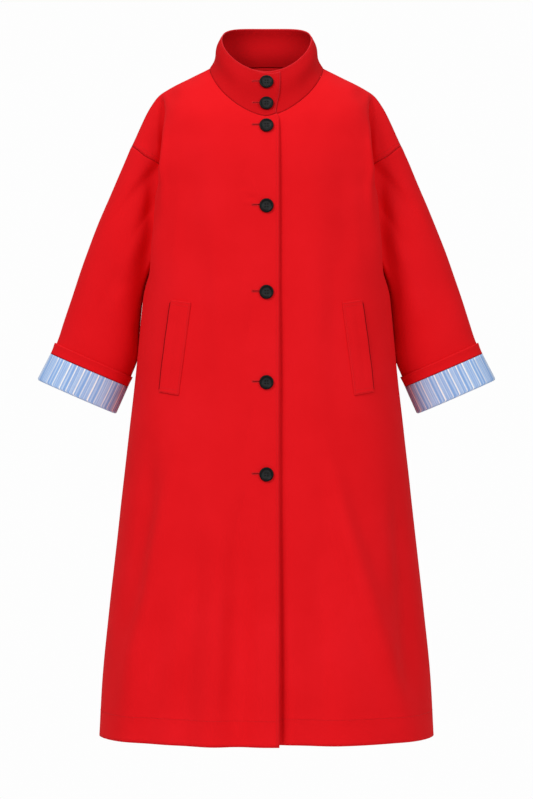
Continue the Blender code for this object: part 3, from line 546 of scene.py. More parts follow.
# Cotton twill, piece-dyed and brushed: matt, with a faint diagonal rib and a soft bloom at grazing
# angles. Dye takes a little unevenly over a hand's width. Shade is painted into the colour along the
# seams and stitch lines, and a highlight is painted along free edges.
TWILL_RIB = 0.0011          # real ribs are 0.5 mm apart; drawn coarser to show at all
TWILL_DYES = ("#E51119", "#E8131B", "#EB151E")
COLLAR_SHADE_DYES = ("#C80911", "#CC0B13", "#D00C15")     # painted shade: the collar's same twill, dyed darker for the shade it sits in


def red_twill(name, dyes, seam_shade_colour, edge_highlight_strength):
    """Red cotton twill with painted seam shade and painted edge highlights, placed by marks on the mesh that say
    how far each point is from seams and edges.
    """
    material, tree, shader = new_material(name)
    here = node(tree, "ShaderNodeTexCoord").outputs["Object"]
    flat = node(tree, "ShaderNodeUVMap", uv_map="cut").outputs[0]
    bloom = node(tree, "ShaderNodeTexNoise", {"Vector": here}, in_Scale=9.0, in_Detail=3.0, in_Roughness=0.55)
    ramp = node(tree, "ShaderNodeValToRGB", {0: bloom.outputs[0]})
    ramp.color_ramp.elements[0].position, ramp.color_ramp.elements[1].position = 0.30, 0.72
    ramp.color_ramp.elements[0].color, ramp.color_ramp.elements[1].color = srgb(dyes[0]), srgb(dyes[2])
    ramp.color_ramp.elements.new(0.5).color = srgb(dyes[1])

    turned = node(tree, "ShaderNodeMapping", {0: flat}, in_Rotation=(0.0, 0.0, math.radians(63)))
    rib = node(tree, "ShaderNodeTexWave", {0: turned.outputs[0]}, in_Distortion=0.4, in_Detail=1.0,
               in_Scale=1 / (TWILL_RIB * 2 * math.pi) * math.pi / 10)
    slub = node(tree, "ShaderNodeTexNoise", {"Vector": flat}, in_Scale=900.0, in_Detail=2.0)
    seam = node(tree, "ShaderNodeAttribute", attribute_name="from_seam").outputs["Fac"]
    edge = node(tree, "ShaderNodeAttribute", attribute_name="from_edge").outputs["Fac"]
    hem = node(tree, "ShaderNodeAttribute", attribute_name="from_hem").outputs["Fac"]
    arm = node(tree, "ShaderNodeAttribute", attribute_name="from_arm").outputs["Fac"]
    sewn = groove(tree, seam, 0.0, 0.0007)
    lines = [groove(tree, edge, EDGE_STITCH, 0.0007), groove(tree, hem, HEM_DEPTH, 0.0008)]
    lines += [groove(tree, arm, at, 0.0006) for at in ARMHOLE_STITCHES]
    stitched = lines[0]
    for line in lines[1:]:
        stitched = node(tree, "ShaderNodeMath", {0: stitched, 1: line}, operation="MAXIMUM").outputs[0]

    # puckers: cloth gathered a little by the thread, waves of 6 to 14 mm beside each stitched line
    pucker = node(tree, "ShaderNodeTexNoise", {"Vector": here}, in_Scale=105.0, in_Detail=1.0)
    near = groove(tree, edge, EDGE_STITCH, 0.0065)
    for line in (groove(tree, hem, HEM_DEPTH, 0.007), groove(tree, arm, ARMHOLE_STITCHES[0], 0.008)):
        near = node(tree, "ShaderNodeMath", {0: near, 1: line}, operation="MAXIMUM").outputs[0]
    gathered = node(tree, "ShaderNodeMath", {0: pucker.outputs[0], 1: near}, operation="MULTIPLY")

    # painted shade: the colour darkens towards a dark red in the seam grooves and, more faintly, along the stitch
    # lines
    faint = node(tree, "ShaderNodeMath", {0: stitched}, operation="MULTIPLY", in_1=0.25).outputs[0]
    shade = node(tree, "ShaderNodeMath", {0: faint, 1: sewn}, operation="MAXIMUM")
    depth = node(tree, "ShaderNodeMath", {0: shade.outputs[0]}, operation="MULTIPLY", in_1=0.40)
    colour = node(tree, "ShaderNodeMix", {0: depth.outputs[0], 6: ramp.outputs[0]}, data_type="RGBA",
                  in_7=srgb(seam_shade_colour))
    # painted highlight: the colour is lightened towards #F4404A along free edges, as if they caught the light
    edge_highlight = node(tree, "ShaderNodeMath", {0: groove(tree, edge, 0.0, 0.0012)}, operation="MULTIPLY",
                   in_1=edge_highlight_strength)
    base_colour_mix = node(tree, "ShaderNodeMix", {0: edge_highlight.outputs[0], 6: colour.outputs[2]}, data_type="RGBA",
                in_7=srgb("#F4404A"))
    tree.links.new(base_colour_mix.outputs[2], shader.inputs["Base Color"])

    weave = node(tree, "ShaderNodeBump", {"Height": rib.outputs[1]}, in_Strength=0.10, in_Distance=0.0002)
    thread = node(tree, "ShaderNodeBump", {"Height": slub.outputs[0], "Normal": weave.outputs[0]},
                  in_Strength=0.12, in_Distance=0.0003)
    soft = node(tree, "ShaderNodeTexNoise", {"Vector": here}, in_Scale=26.0, in_Detail=2.0, in_Roughness=0.45)
    rumple = node(tree, "ShaderNodeBump", {"Height": soft.outputs[0], "Normal": thread.outputs[0]},
                  in_Strength=0.16, in_Distance=0.0030)
    puckered = node(tree, "ShaderNodeBump", {"Height": gathered.outputs[0], "Normal": rumple.outputs[0]},
                    in_Strength=0.5, in_Distance=0.0016)
    sunk = node(tree, "ShaderNodeBump", {"Height": shade.outputs[0], "Normal": puckered.outputs[0]},
                in_Strength=0.6, in_Distance=0.0005, invert=True)
    tree.links.new(sunk.outputs[0], shader.inputs["Normal"])
    shader.inputs["Roughness"].default_value = 0.82
    shader.inputs["Specular IOR Level"].default_value = 0.08
    shader.inputs["Sheen Weight"].default_value = 0.02
    shader.inputs["Sheen Roughness"].default_value = 0.45
    shader.inputs["Sheen Tint"].default_value = srgb("#FF8A80")
    return material


# 7A060B is the painted seam shade; 0.12 is the strength of the painted edge highlight
TWILL = red_twill("red_cotton_twill", TWILL_DYES, "#7A060B", 0.12)
# the collar: the same twill with darker dyes as painted shade, #6A0509 as painted seam shade and a stronger
# painted edge highlight (0.40) along its rim
COLLAR_TWILL_PAINTED_SHADE = red_twill("red_twill_collar_painted_shade", COLLAR_SHADE_DYES, "#6A0509", 0.40)

grids = {"front_right": tuck_corner(panel(-1, RIGHT_EDGE, "front", FRONT_CELLS, FRONT_NECK_CELLS)),
         "front_left": under_layer(panel(1, LEFT_EDGE, "front", FRONT_CELLS, FRONT_NECK_CELLS))}
back_halves = [panel(sign, 0.0, "back", BACK_CELLS, BACK_NECK_CELLS) for sign in (-1, 1)]
grids["back"] = np.concatenate([back_halves[0][:, :0:-1], back_halves[1]], axis=1)


# Heights against how far the chest's edge stands out there, and against |x| of the line where the
# arm lies deepest beside it.
CHEST_EDGE = ((-0.36, -0.30, -0.205, -0.178, -0.150, -0.100, -0.045),
              (0.0, 0.003, 0.003, 0.0085, 0.0075, 0.004, 0.0))
ARM_LINE = ((-0.24, -0.19, -0.13), (0.184, 0.179, 0.172))
ARM_FOOT, ARM_TOP = (-0.240, -0.195), (-0.165, -0.135)      # heights where it eases in and out
CHEST_FRONT, CHEST_SIDE = (0.045, 0.075), (0.10, 0.16)      # depths and |x| where the chest begins
ARM_BEHIND, ARM_WIDTH = 0.012, 0.012


def crumple(name, grid, normals, phase):
    """Moves a panel's points out by its creases and slack, less and less towards its seams."""
    x, z = grid[..., 0], grid[..., 2]
    table = {"back": BACK_CREASES, "front_left": FRONT_CREASES + LAP_CREASES}.get(name, FRONT_CREASES)
    sewn = np.minimum(distance_from(grid, 0, from_end=True), distance_from(grid, 1, from_end=True))
    if name == "back":
        sewn = np.minimum(sewn, distance_from(grid, 1))
    loose = 1.0 if name == "back" else ease(np.abs(x), *LAP_BLEND)
    height = (creases(x, z, table) + loose * slack(x, z, phase)) * ease(sewn, 0.004, 0.035)
    return grid + height[..., None] * normals


def beside_arm(grid):
    """The chest's edge stands out a little over the arm, and beside it the arm's cloth and its
    seam lie deeper, as far down as the seam."""
    x, y, z = np.moveaxis(grid, -1, 0)
    chest = ease(-y, *CHEST_FRONT) * ease(np.abs(x), *CHEST_SIDE)
    off = (np.abs(x) - np.interp(z, *ARM_LINE)) / ARM_WIDTH
    arm = (1 - chest) * np.exp(-off ** 2) * ease(z, *ARM_FOOT) * (1 - ease(z, *ARM_TOP))
    wide = np.interp(z, *CHEST_EDGE) * chest
    return grid + np.stack([np.sign(x) * wide, ARM_BEHIND * arm, np.zeros_like(z)], axis=-1)


def settle_yoke(grid):
    """Evens out the shoulder: each inner point moves halfway to the mean of its neighbours, many
    times over, with full weight in the upper rows only."""
    rows = np.arange(1, len(grid) - 1)
    weight = 0.5 * ease(rows, SKIRT_CELLS + 0.50 * YOKE_CELLS, SKIRT_CELLS + 0.72 * YOKE_CELLS)
    for _ in range(SETTLING):
        around = (grid[:-2, 1:-1] + grid[2:, 1:-1] + grid[1:-1, :-2] + grid[1:-1, 2:]) / 4
        grid[1:-1, 1:-1] += weight[:, None, None] * (around - grid[1:-1, 1:-1])
    return grid


grids = {name: settle_yoke(grid) for name, grid in grids.items()}
normals = {name: face_normals(grid) for name, grid in grids.items()}
for phase, name in enumerate(("front_right", "front_left", "back")):
    grids[name] = crumple(name, grids[name], normals[name], 1.0 + 1.9 * phase)
    if name != "back":
        grids[name] = beside_arm(grids[name])
under = grids["front_left"]
near_lap = 1 - ease(under[..., 0], 0.03, 0.12)
under[..., 2] += UNDER_HEM_RISE * near_lap * (1 - ease(under[..., 2] - HEM, 0.0, 0.06))


# ==== Sleeves =================================================================================
# Each sleeve is one piece of the same twill, sewn into the dropped armhole and closed by a seam
# under the arm. It bends forward and out a little, and ends under the turned-back cuff.

SLEEVE_COLUMNS = ("share", "outer_x", "outer_z", "inner_x", "inner_z", "half_depth", "back_shift")
SLEEVE_SECTIONS = (
    (0.00, 0.2280, -0.1311, 0.1924, -0.2870, 0.058, 0.006),
    (0.14, 0.2523, -0.1863, 0.1958, -0.3255, 0.058, 0.012),
    (0.28, 0.2765, -0.2415, 0.2052, -0.3640, 0.057, 0.018),
    (0.56, 0.3185, -0.3518, 0.2150, -0.4440, 0.053, 0.026),
    (0.74, 0.3430, -0.4240, 0.2192, -0.4935, 0.049, 0.026),
    (0.84, 0.3565, -0.4640, 0.2300, -0.5205, 0.047, 0.026),
    (1.00, 0.3870, -0.5265, 0.2575, -0.5830, 0.045, 0.024),
)
SLEEVE_SQUARENESS = 2.2
ARMHOLE_FADE = 0.42
SLEEVE_END = 0.985
SLEEVE_CELLS = 140
# The sleeve's front dips behind the chest's edge, along a line of heights and |x|. The dip fades in
# down the sleeve and towards its foot, and stays in front of the sleeve's middle.
TUCK_LINE = ((-0.44, -0.34, -0.26, -0.15), (0.214, 0.1960, 0.1870, 0.1760))
TUCK_BEHIND, TUCK_WIDTH = 0.022, 0.0170
TUCK_START, TUCK_FOOT = (0.0, 0.090), (-0.44, -0.33)
TUCK_FACE = (0.35, 1.0)                     # sines of the turn: none at the inner edge
TUCK_CLEAR = 0.026
# Heights against how far back the dip may reach: it stays in front of the open armhole.
ARMHOLE_ROOM = ((-0.31, -0.262, -0.242, -0.188, -0.170), (0.010, -0.004, -0.0170, -0.0170, -0.0170))
SLEEVE = read_table(SLEEVE_COLUMNS, SLEEVE_SECTIONS)

# Creases on the front half and the back half of a sleeve, seen from the front, on |x|.
SLEEVE_FRONT_CREASES = (
    (0.222, -0.250, 0.262, -0.430, 0.006, 0.010, 0.018, 0.0020),
    (0.236, -0.330, 0.300, -0.455, -0.005, 0.010, 0.018, -0.0018),
    (0.205, -0.300, 0.252, -0.385, 0.004, 0.008, 0.013, -0.0014),
    (0.290, -0.290, 0.330, -0.440, 0.004, 0.014, 0.020, 0.0014),
)
SLEEVE_BACK_CREASES = (
    (0.215, -0.290, 0.275, -0.370, 0.005, 0.010, 0.016, 0.0026),
    (0.220, -0.340, 0.290, -0.420, 0.004, 0.010, 0.018, -0.0022),
    (0.255, -0.240, 0.300, -0.400, -0.006, 0.014, 0.020, 0.0018),
)


def sleeve_ring(share, turn):
    """Points at `share` down the sleeve and `turn` round it: a superellipse of power 2.2 about
    the line between the outer and the inner edge, 0 at the outer edge and 90 degrees in front."""
    section = {name: along(SLEEVE, "share", name, share) for name in SLEEVE_COLUMNS[1:]}
    power = 2 / SLEEVE_SQUARENESS
    swing = np.sign(np.cos(turn)) * np.abs(np.cos(turn)) ** power
    bulge = np.sign(np.sin(turn)) * np.abs(np.sin(turn)) ** power
    outward, inward = (1 + swing) / 2, (1 - swing) / 2
    return np.stack([outward * section["outer_x"] + inward * section["inner_x"],
                     section["back_shift"] - bulge * section["half_depth"],
                     outward * section["outer_z"] + inward * section["inner_z"]], axis=-1)


def held_within(dip, room):
    """The smaller of the two, rounded where they meet: (dip^-4 + room^-4)^(-1/4)."""
    return (np.maximum(dip, 1e-6) ** -4.0 + np.maximum(room, 1e-4) ** -4.0) ** -0.25


front_rows = SKIRT_CELLS + np.arange(YOKE_CELLS, 0, -1)
back_rows = SKIRT_CELLS + np.arange(0, YOKE_CELLS)
turns = np.radians(np.arange(0, 360, 180 / YOKE_CELLS))
for side, sign in (("right", -1), ("left", 1)):
    half = slice(BACK_CELLS, None) if sign > 0 else slice(BACK_CELLS, None, -1)
    loop = np.concatenate([grids["front_" + side][front_rows, -1], grids["back"][:, half][back_rows, -1]])
    loop[:, 0] = np.abs(loop[:, 0])
    share, turn = np.meshgrid(np.linspace(0, SLEEVE_END, SLEEVE_CELLS + 1), turns, indexing="ij")
    fade = np.clip(1 - share / ARMHOLE_FADE, 0.0, 1.0) ** 2
    sleeve = sleeve_ring(share, turn) + fade[..., None] * (loop - sleeve_ring(np.zeros_like(turns), turns))
    out = face_normals(sleeve, ring=True)
    in_front = ease(-out[..., 1], -0.1, 0.5)
    lumps = (in_front * creases(sleeve[..., 0], sleeve[..., 2], SLEEVE_FRONT_CREASES)
             + (1 - in_front) * creases(sleeve[..., 0], sleeve[..., 2], SLEEVE_BACK_CREASES)
             + slack(sleeve[..., 0], sleeve[..., 2], 5.2 + sign) * (0.5 + in_front / 2))
    settled = ease(share, 0.0, 0.09) * (1 - ease(share, 0.80, 0.90))
    sleeve = sleeve + (lumps * settled)[..., None] * out
    off = (sleeve[..., 0] - np.interp(sleeve[..., 2], *TUCK_LINE)) / TUCK_WIDTH
    dip = (TUCK_BEHIND * np.exp(-off ** 2) * ease(np.sin(turn), *TUCK_FACE)
           * ease(share, *TUCK_START) * ease(sleeve[..., 2], *TUCK_FOOT))
    middle = along(SLEEVE, "share", "back_shift", share) - TUCK_CLEAR
    room = np.minimum(np.interp(sleeve[..., 2], *ARMHOLE_ROOM), middle) - sleeve[..., 1]
    sleeve[..., 1] += np.where(room > 1e-4, held_within(dip, room), 0.0)
    grids["sleeve_" + side] = sleeve * np.array([sign, 1, 1])


# ==== Collar ==================================================================================
# The stand collar is one strip of twill over a firm interlining, sewn to the neck and lapped at
# the front like the fronts below it. It leans in to a rounded rim that drops towards the front.

COLLAR_RIM = {"half_width": 0.0758, "half_depth": 0.0735, "shift": 0.0115,
              "middle": 0.0397, "tilt": 0.0441, "wave": 0.0093}
COLLAR_SWELL = 0.0027
LAP_STEP = 0.0045           # the lapped end's rim sits this much lower at its corner
COLLAR_LEAN = 0.55          # so the step runs down along the leaning strip, clear of the end below
COLLAR_CLOTH = 0.0018
COLLAR_CELLS = 28


def collar_grid():
    """Outer face of the strip: rows from the neck seam to the rim, columns from its lapped end
    round the back to the end below. The rim is a tilted ellipse, and a sine of the height
    pinches the strip low down and fills it near the rim."""
    over = neck_turns(RIGHT_EDGE, FRONT_NECK_CELLS, "front")
    under = neck_turns(LEFT_EDGE, FRONT_NECK_CELLS, "front")[::-1]
    back = neck_turns(0.0, BACK_NECK_CELLS, "back")
    behind = np.concatenate([-back[:0:-1], back])[1:-1]
    seam, heading = [], []
    for turn, mirror, side, angle in ((over, -1, "front", -over), (behind, 1, "back", -math.pi - behind),
                                      (under, 1, "front", under - 2 * math.pi)):
        x, z = neck_line(turn, side)
        depth = body_depth(x * mirror, z, side) * (np.abs(x) < NECK_HALF_WIDTH - 1e-6)
        seam.append(np.stack([x * mirror, -depth if side == "front" else depth, z], axis=-1))
        heading.append(angle)
    seam, heading = np.concatenate(seam), np.concatenate(heading)
    rim = np.stack([COLLAR_RIM["half_width"] * np.sin(heading),
                    -COLLAR_RIM["half_depth"] * np.cos(heading) - COLLAR_RIM["shift"],
                    COLLAR_RIM["middle"] - COLLAR_RIM["tilt"] * np.cos(heading)
                    - COLLAR_RIM["wave"] * np.cos(2 * heading)], axis=-1)
    rise = np.linspace(0, 1, COLLAR_CELLS + 1)[:, None, None]
    outer = seam + rise * (rim - seam)
    outer = outer - COLLAR_SWELL * np.sin(2 * math.pi * rise) * unit(outer * np.array([1.0, 1.0, 0.0]))
    outer[:, -(FRONT_NECK_CELLS + 1):] = under_layer(outer[:, -(FRONT_NECK_CELLS + 1):])
    lapped = outer[:, :FRONT_NECK_CELLS]
    lapped[...] = tuck_corner(lapped)
    step = LAP_STEP * rise[..., 0] ** 2 * ease(lapped[..., 0], -0.035, 0.021)
    lapped[..., 1] -= COLLAR_LEAN * step
    lapped[..., 2] -= step
    return outer


grids["collar"] = collar_grid()

# ---- the seams of the shell: one set of normals along each, pressed in a little --------------

normals = {name: face_normals(grid, ring=name.startswith("sleeve")) for name, grid in grids.items()}
for side, sign in (("right", -1), ("left", 1)):
    half = slice(BACK_CELLS, None) if sign > 0 else slice(BACK_CELLS, None, -1)
    front, back = normals["front_" + side], normals["back"][:, half]
    share_edge(front[:SKIRT_CELLS + 1, -1], back[:SKIRT_CELLS + 1, -1])
    share_edge(front[-1, FRONT_NECK_CELLS:][::8], back[-1, BACK_NECK_CELLS:][::8])
    share_edge(front[-1, FRONT_NECK_CELLS:], back[-1, BACK_NECK_CELLS:])
    ring = np.concatenate([front[front_rows, -1], back[back_rows, -1]])
    share_edge(ring, normals["sleeve_" + side][0])
    front[front_rows, -1] = ring[:YOKE_CELLS]
    front[SKIRT_CELLS, -1] = ring[YOKE_CELLS]
    back[back_rows, -1] = ring[YOKE_CELLS:]
    back[-1, -1] = ring[0]
collar_columns = {"front_right": slice(0, FRONT_NECK_CELLS + 1),
                  "front_left": slice(-1, -FRONT_NECK_CELLS - 2, -1),
                  "back": slice(FRONT_NECK_CELLS, FRONT_NECK_CELLS + 2 * BACK_NECK_CELLS + 1)}
neck_columns = {"front_right": slice(0, FRONT_NECK_CELLS + 1), "front_left": slice(0, FRONT_NECK_CELLS + 1),
                "back": slice(BACK_CELLS - BACK_NECK_CELLS, BACK_CELLS + BACK_NECK_CELLS + 1)}
for name, columns in neck_columns.items():
    share_edge(normals[name][-1, columns], normals["collar"][0, collar_columns[name]])

walls = {}
for name, grid in grids.items():
    dent = np.zeros(grid.shape[:2])
    if name.startswith("sleeve") or name == "collar":
        dent[0] = SEAM_DENT
    else:
        dent[-1] = dent[:, -1] = SEAM_DENT
        if name == "back":
            dent[:, 0] = SEAM_DENT
    thick = COLLAR_CLOTH if name == "collar" else CLOTH
    outer = grid - dent[..., None] * normals[name]
    walls[name] = (outer, grid - thick * normals[name])

FAR = 1.0       # a mark this large means that no such line is on the piece
pieces = {}
for name, (outer, inner) in walls.items():
    blank = np.full(outer.shape[:2], FAR)
    up, down = distance_from(outer, 0), distance_from(outer, 0, from_end=True)
    left, right = distance_from(outer, 1), distance_from(outer, 1, from_end=True)
    is_yoke = (np.arange(outer.shape[0]) >= SKIRT_CELLS)[:, None]
    if name.startswith("sleeve"):
        marks = {"from_seam": up, "from_edge": blank, "from_hem": blank, "from_arm": blank}
    elif name == "collar":
        marks = {"from_seam": up, "from_edge": np.minimum(np.minimum(left, right), down),
                 "from_hem": blank, "from_arm": blank}
    elif name == "back":
        marks = {"from_seam": np.minimum(np.minimum(left, right), down), "from_edge": blank, "from_hem": up,
                 "from_arm": np.where(is_yoke, np.minimum(left, right), FAR)}
    else:
        marks = {"from_seam": np.minimum(right, down), "from_edge": left, "from_hem": up,
                 "from_arm": np.where(is_yoke, right, FAR)}
    pieces[name] = cloth_piece("cloth_" + name, outer, inner, marks,
                               COLLAR_TWILL_PAINTED_SHADE if name == "collar" else TWILL, ring=name.startswith("sleeve"))
    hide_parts(name)

for name, piece in pieces.items():
    size = cloth_area(grids[name], ring=name.startswith("sleeve"))


# ==== Turned-back cuffs =======================================================================
# Each cuff is the sleeve's end turned back over itself: first a narrow red facing, and from there
# the lining, a striped cotton that goes round the fold and up inside the sleeve.

CUFF_DEPTH = 0.068
CUFF_TOP_SHARE = 0.84
FACING_DEPTH = 0.020
LINING_INSIDE = 0.045
CUFF_OUT = 0.0022
CUFF_IN = 0.0033
TRIM_CLOTH = 0.0013
CUFF_GAP = 0.0004
CUFF_FLARE = 0.0009         # the facing's free edge stands off a little more
CUFF_TURNS = np.radians(180 + np.arange(0, 360, 1.875))     # from the seam under the arm


def cuff_wall(path):
    """Rings round the sleeve: each step of `path` is (distance above the fold, off the sleeve),
    with the offset along the sleeve's outward normal."""
    length = CUFF_DEPTH / (1 - CUFF_TOP_SHARE)
    above, off = np.array(path).T
    share = np.repeat(1 - above[:, None] / length, len(CUFF_TURNS), axis=1)
    turn = np.repeat(CUFF_TURNS[None], len(above), axis=0)
    ring = sleeve_ring(share, turn)
    around = sleeve_ring(share, turn + 0.05) - sleeve_ring(share, turn - 0.05)
    out = unit(np.cross(around, ring - sleeve_ring(share - 0.02, turn)))
    out *= np.sign(np.sum(out * (ring - ring.mean(axis=1, keepdims=True)), axis=-1, keepdims=True))
    return ring + off[:, None, None] * out


# Lining: yarn-dyed shirting cotton, smooth and a little lustrous. Light-blue warp with a white
# stripe every 26 mm, finer white and mid-blue lines between, and streaks where the dye varies.
# The lines are drawn with soft edges, 1 mm wide at least, so that they hold in a picture.
LINING_REPEAT = 0.026


def striped_cotton():
    """Stripes along the sleeve, drawn on the flat cut's width in metres."""
    material, tree, shader = new_material("striped_shirting")
    flat = node(tree, "ShaderNodeUVMap", uv_map="cut").outputs[0]
    wander = node(tree, "ShaderNodeTexNoise", {"Vector": flat}, in_Scale=9.0, in_Detail=1.0)
    split = node(tree, "ShaderNodeSeparateXYZ", {0: flat})
    moved = node(tree, "ShaderNodeMath", {0: wander.outputs[0], 2: split.outputs[0]},
                 operation="MULTIPLY_ADD", in_1=0.004)
    repeat = node(tree, "ShaderNodeMath", {0: moved.outputs[0]}, operation="DIVIDE", in_1=LINING_REPEAT)
    phase = node(tree, "ShaderNodeMath", {0: repeat.outputs[0]}, operation="FRACT")
    stripes = node(tree, "ShaderNodeValToRGB", {0: phase.outputs[0]})
    bands = ((0.00, "#7FAAE4"), (0.025, "#FEFEFF"), (0.105, "#FEFEFF"), (0.13, "#84ADE6"), (0.21, "#B4D0F6"),
             (0.29, "#CFE0F9"), (0.33, "#9DBFEE"), (0.42, "#86AFE8"), (0.47, "#A9C8F3"), (0.50, "#F6F8FC"),
             (0.55, "#F6F8FC"), (0.58, "#9CBEEE"), (0.68, "#C4D9F8"), (0.74, "#90B6EA"), (0.80, "#DCE8FA"),
             (0.84, "#AECBF4"), (0.93, "#BDD5F7"))
    ramp = stripes.color_ramp
    ramp.elements[0].color, ramp.elements[1].color = srgb(bands[0][1]), srgb(bands[-1][1])
    ramp.elements[1].position = bands[-1][0]
    for position, code in bands[1:-1]:
        ramp.elements.new(position).color = srgb(code)
    drawn = node(tree, "ShaderNodeMapping", {0: flat}, in_Scale=(260.0, 7.0, 1.0))
    streak = node(tree, "ShaderNodeTexNoise", {"Vector": drawn.outputs[0]}, in_Scale=1.0, in_Detail=3.0)
    patch = node(tree, "ShaderNodeValToRGB", {0: streak.outputs[0]})
    patch.color_ramp.elements[0].position, patch.color_ramp.elements[1].position = 0.42, 0.70
    patch.color_ramp.elements[0].color, patch.color_ramp.elements[1].color = (0, 0, 0, 1), (0.85, 0.85, 0.85, 1)
    base_colour_mix = node(tree, "ShaderNodeMix", {0: patch.outputs[0], 6: stripes.outputs[0]}, data_type="RGBA",
                in_7=srgb("#86AEE8"))
    tree.links.new(base_colour_mix.outputs[2], shader.inputs["Base Color"])
    here = node(tree, "ShaderNodeTexCoord").outputs["Object"]
    soft = node(tree, "ShaderNodeTexNoise", {"Vector": here}, in_Scale=60.0, in_Detail=2.0)
    rumple = node(tree, "ShaderNodeBump", {"Height": soft.outputs[0]}, in_Strength=0.3, in_Distance=0.0015)
    yarn = node(tree, "ShaderNodeTexNoise", {"Vector": drawn.outputs[0]}, in_Scale=9.0, in_Detail=1.0)
    weave = node(tree, "ShaderNodeBump", {"Height": yarn.outputs[0], "Normal": rumple.outputs[0]},
                 in_Strength=0.1, in_Distance=0.0002)
    tree.links.new(weave.outputs[0], shader.inputs["Normal"])
    shader.inputs["Roughness"].default_value = 0.62
    shader.inputs["Specular IOR Level"].default_value = 0.3
    return material


SHIRTING = striped_cotton()
band_top = CUFF_DEPTH - FACING_DEPTH
bend = TRIM_CLOTH + 0.002
swing = np.linspace(0, math.pi, 13)
middle = {"outer": (CUFF_OUT - CUFF_IN) / 2, "inner": (CUFF_OUT - CUFF_IN) / 2}
half_gap = {"outer": (CUFF_OUT + CUFF_IN) / 2, "inner": (CUFF_OUT + CUFF_IN) / 2 - TRIM_CLOTH}
reach = {"outer": bend, "inner": bend - TRIM_CLOTH}
lining_paths, facing_paths = {}, {}
for face in ("outer", "inner"):
    off = half_gap[face]
    outside = [(above, middle[face] + off) for above in np.linspace(band_top, bend, 12)[:-1]]
    fold = list(zip(bend - reach[face] * np.sin(swing), middle[face] + off * np.cos(swing)))
    inside = [(above, middle[face] - off) for above in np.linspace(bend, LINING_INSIDE, 10)[1:]]
    lining_paths[face] = outside + fold + inside
    facing_paths[face] = [(above, middle[face] + off + CUFF_FLARE * ease(above, band_top, CUFF_DEPTH) ** 2)
                          for above in np.linspace(CUFF_DEPTH, band_top + CUFF_GAP, 8)]
for side, sign in (("right", -1), ("left", 1)):
    mirror = np.array([sign, 1, 1])
    outer, inner = (cuff_wall(facing_paths[face]) * mirror for face in ("outer", "inner"))
    blank = np.full(outer.shape[:2], FAR)
    marks = {"from_seam": distance_from(outer, 0, from_end=True), "from_edge": distance_from(outer, 0) * 1.6,
             "from_hem": blank, "from_arm": blank}
    facing = cloth_piece("cloth_cuff_facing_" + side, outer, inner, marks, TWILL, ring=True)
    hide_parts("cuff_facing_" + side)
    outer, inner = (cuff_wall(lining_paths[face]) * mirror for face in ("outer", "inner"))
    lining = cloth_piece("cloth_cuff_lining_" + side, outer, inner, {}, SHIRTING, ring=True)
    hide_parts("cuff_lining_" + side)


# ==== Pocket welts ============================================================================
# A slanted welt covers each side pocket: a folded strip of twill, stitched down along its inner
# edge and across both ends. The outer edge is the pocket's mouth and stands open a little.

WELT = {"top": (0.1242, -0.3998), "bottom": (0.1442, -0.5528), "width": 0.0322, "slant": 0.0053,
        "lift": 0.0006}
WELT_CELLS = (96, 24)
# Soft cross wrinkles: place down the welt, how far in from the mouth they start, height, width.
WELT_WRINKLES = ((0.10, 0.2, 0.0006, 0.018), (0.24, 0.5, -0.0005, 0.022), (0.37, 0.3, 0.0007, 0.020),
                 (0.52, 0.6, -0.0006, 0.024), (0.66, 0.2, 0.0006, 0.018), (0.83, 0.4, -0.0005, 0.022))


def seat(piece, x, z, lift=0.0):
    """Points and normals where rays from in front meet a piece, at given x and z, moved out."""
    tree = BVHTree.FromObject(piece, bpy.context.evaluated_depsgraph_get())
    hits = [tree.ray_cast(Vector((a, -1.0, b)), Vector((0.0, 1.0, 0.0))) for a, b in zip(x.ravel(), z.ravel())]
    points = np.array([hit[0] for hit in hits], dtype=float).reshape(x.shape + (3,))
    out = np.array([hit[1] for hit in hits], dtype=float).reshape(x.shape + (3,))
    return points + lift * out, out


welt_grids = []
for side, sign in (("right", -1), ("left", 1)):
    down, across = np.meshgrid(np.linspace(0, 1, WELT_CELLS[0] + 1), np.linspace(0, 1, WELT_CELLS[1] + 1),
                               indexing="ij")
    x = WELT["top"][0] + down * (WELT["bottom"][0] - WELT["top"][0]) + across * WELT["width"]
    z = WELT["top"][1] + down * (WELT["bottom"][1] - WELT["top"][1]) + across * WELT["slant"]
    base, _ = seat(pieces["front_" + side], sign * x, z)
    out = face_normals(base)
    wrinkle = sum(height * np.exp(-((down - place - 0.05 * across) / (width / 0.15)) ** 2)
                  * ease(across, start - 0.3, start + 0.3) for place, start, height, width in WELT_WRINKLES)
    open_mouth = 0.0022 * ease(across, 0.55, 1.0) * np.sin(math.pi * down) ** 0.5
    height = WELT["lift"] + TRIM_CLOTH + wrinkle + open_mouth
    outer = base + height[..., None] * out
    inner = base + (WELT["lift"] + open_mouth)[..., None] * out
    edge = np.minimum(distance_from(outer, 1), np.minimum(distance_from(outer, 0), distance_from(outer, 0, True)))
    blank = np.full(outer.shape[:2], FAR)
    welt_grids.append((outer, face_normals(outer)))
    welt = cloth_piece("cloth_pocket_welt_" + side, outer, inner,
                       {"from_seam": blank, "from_edge": edge * EDGE_STITCH / 0.0025, "from_hem": blank,
                        "from_arm": blank}, TWILL)
    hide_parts("pocket_welt_" + side)


# ==== Buttons =================================================================================
# Seven four-hole coat buttons, turned from charcoal polyester rod and tumbled to a dull polish:
# a raised rounded rim round a dished middle, sewn on with black thread.

BUTTON_NAMES = [f"button_{number}" for number in range(1, 8)]
BUTTON_RADIUS = 0.01175
BUTTON_THICK = 0.0036
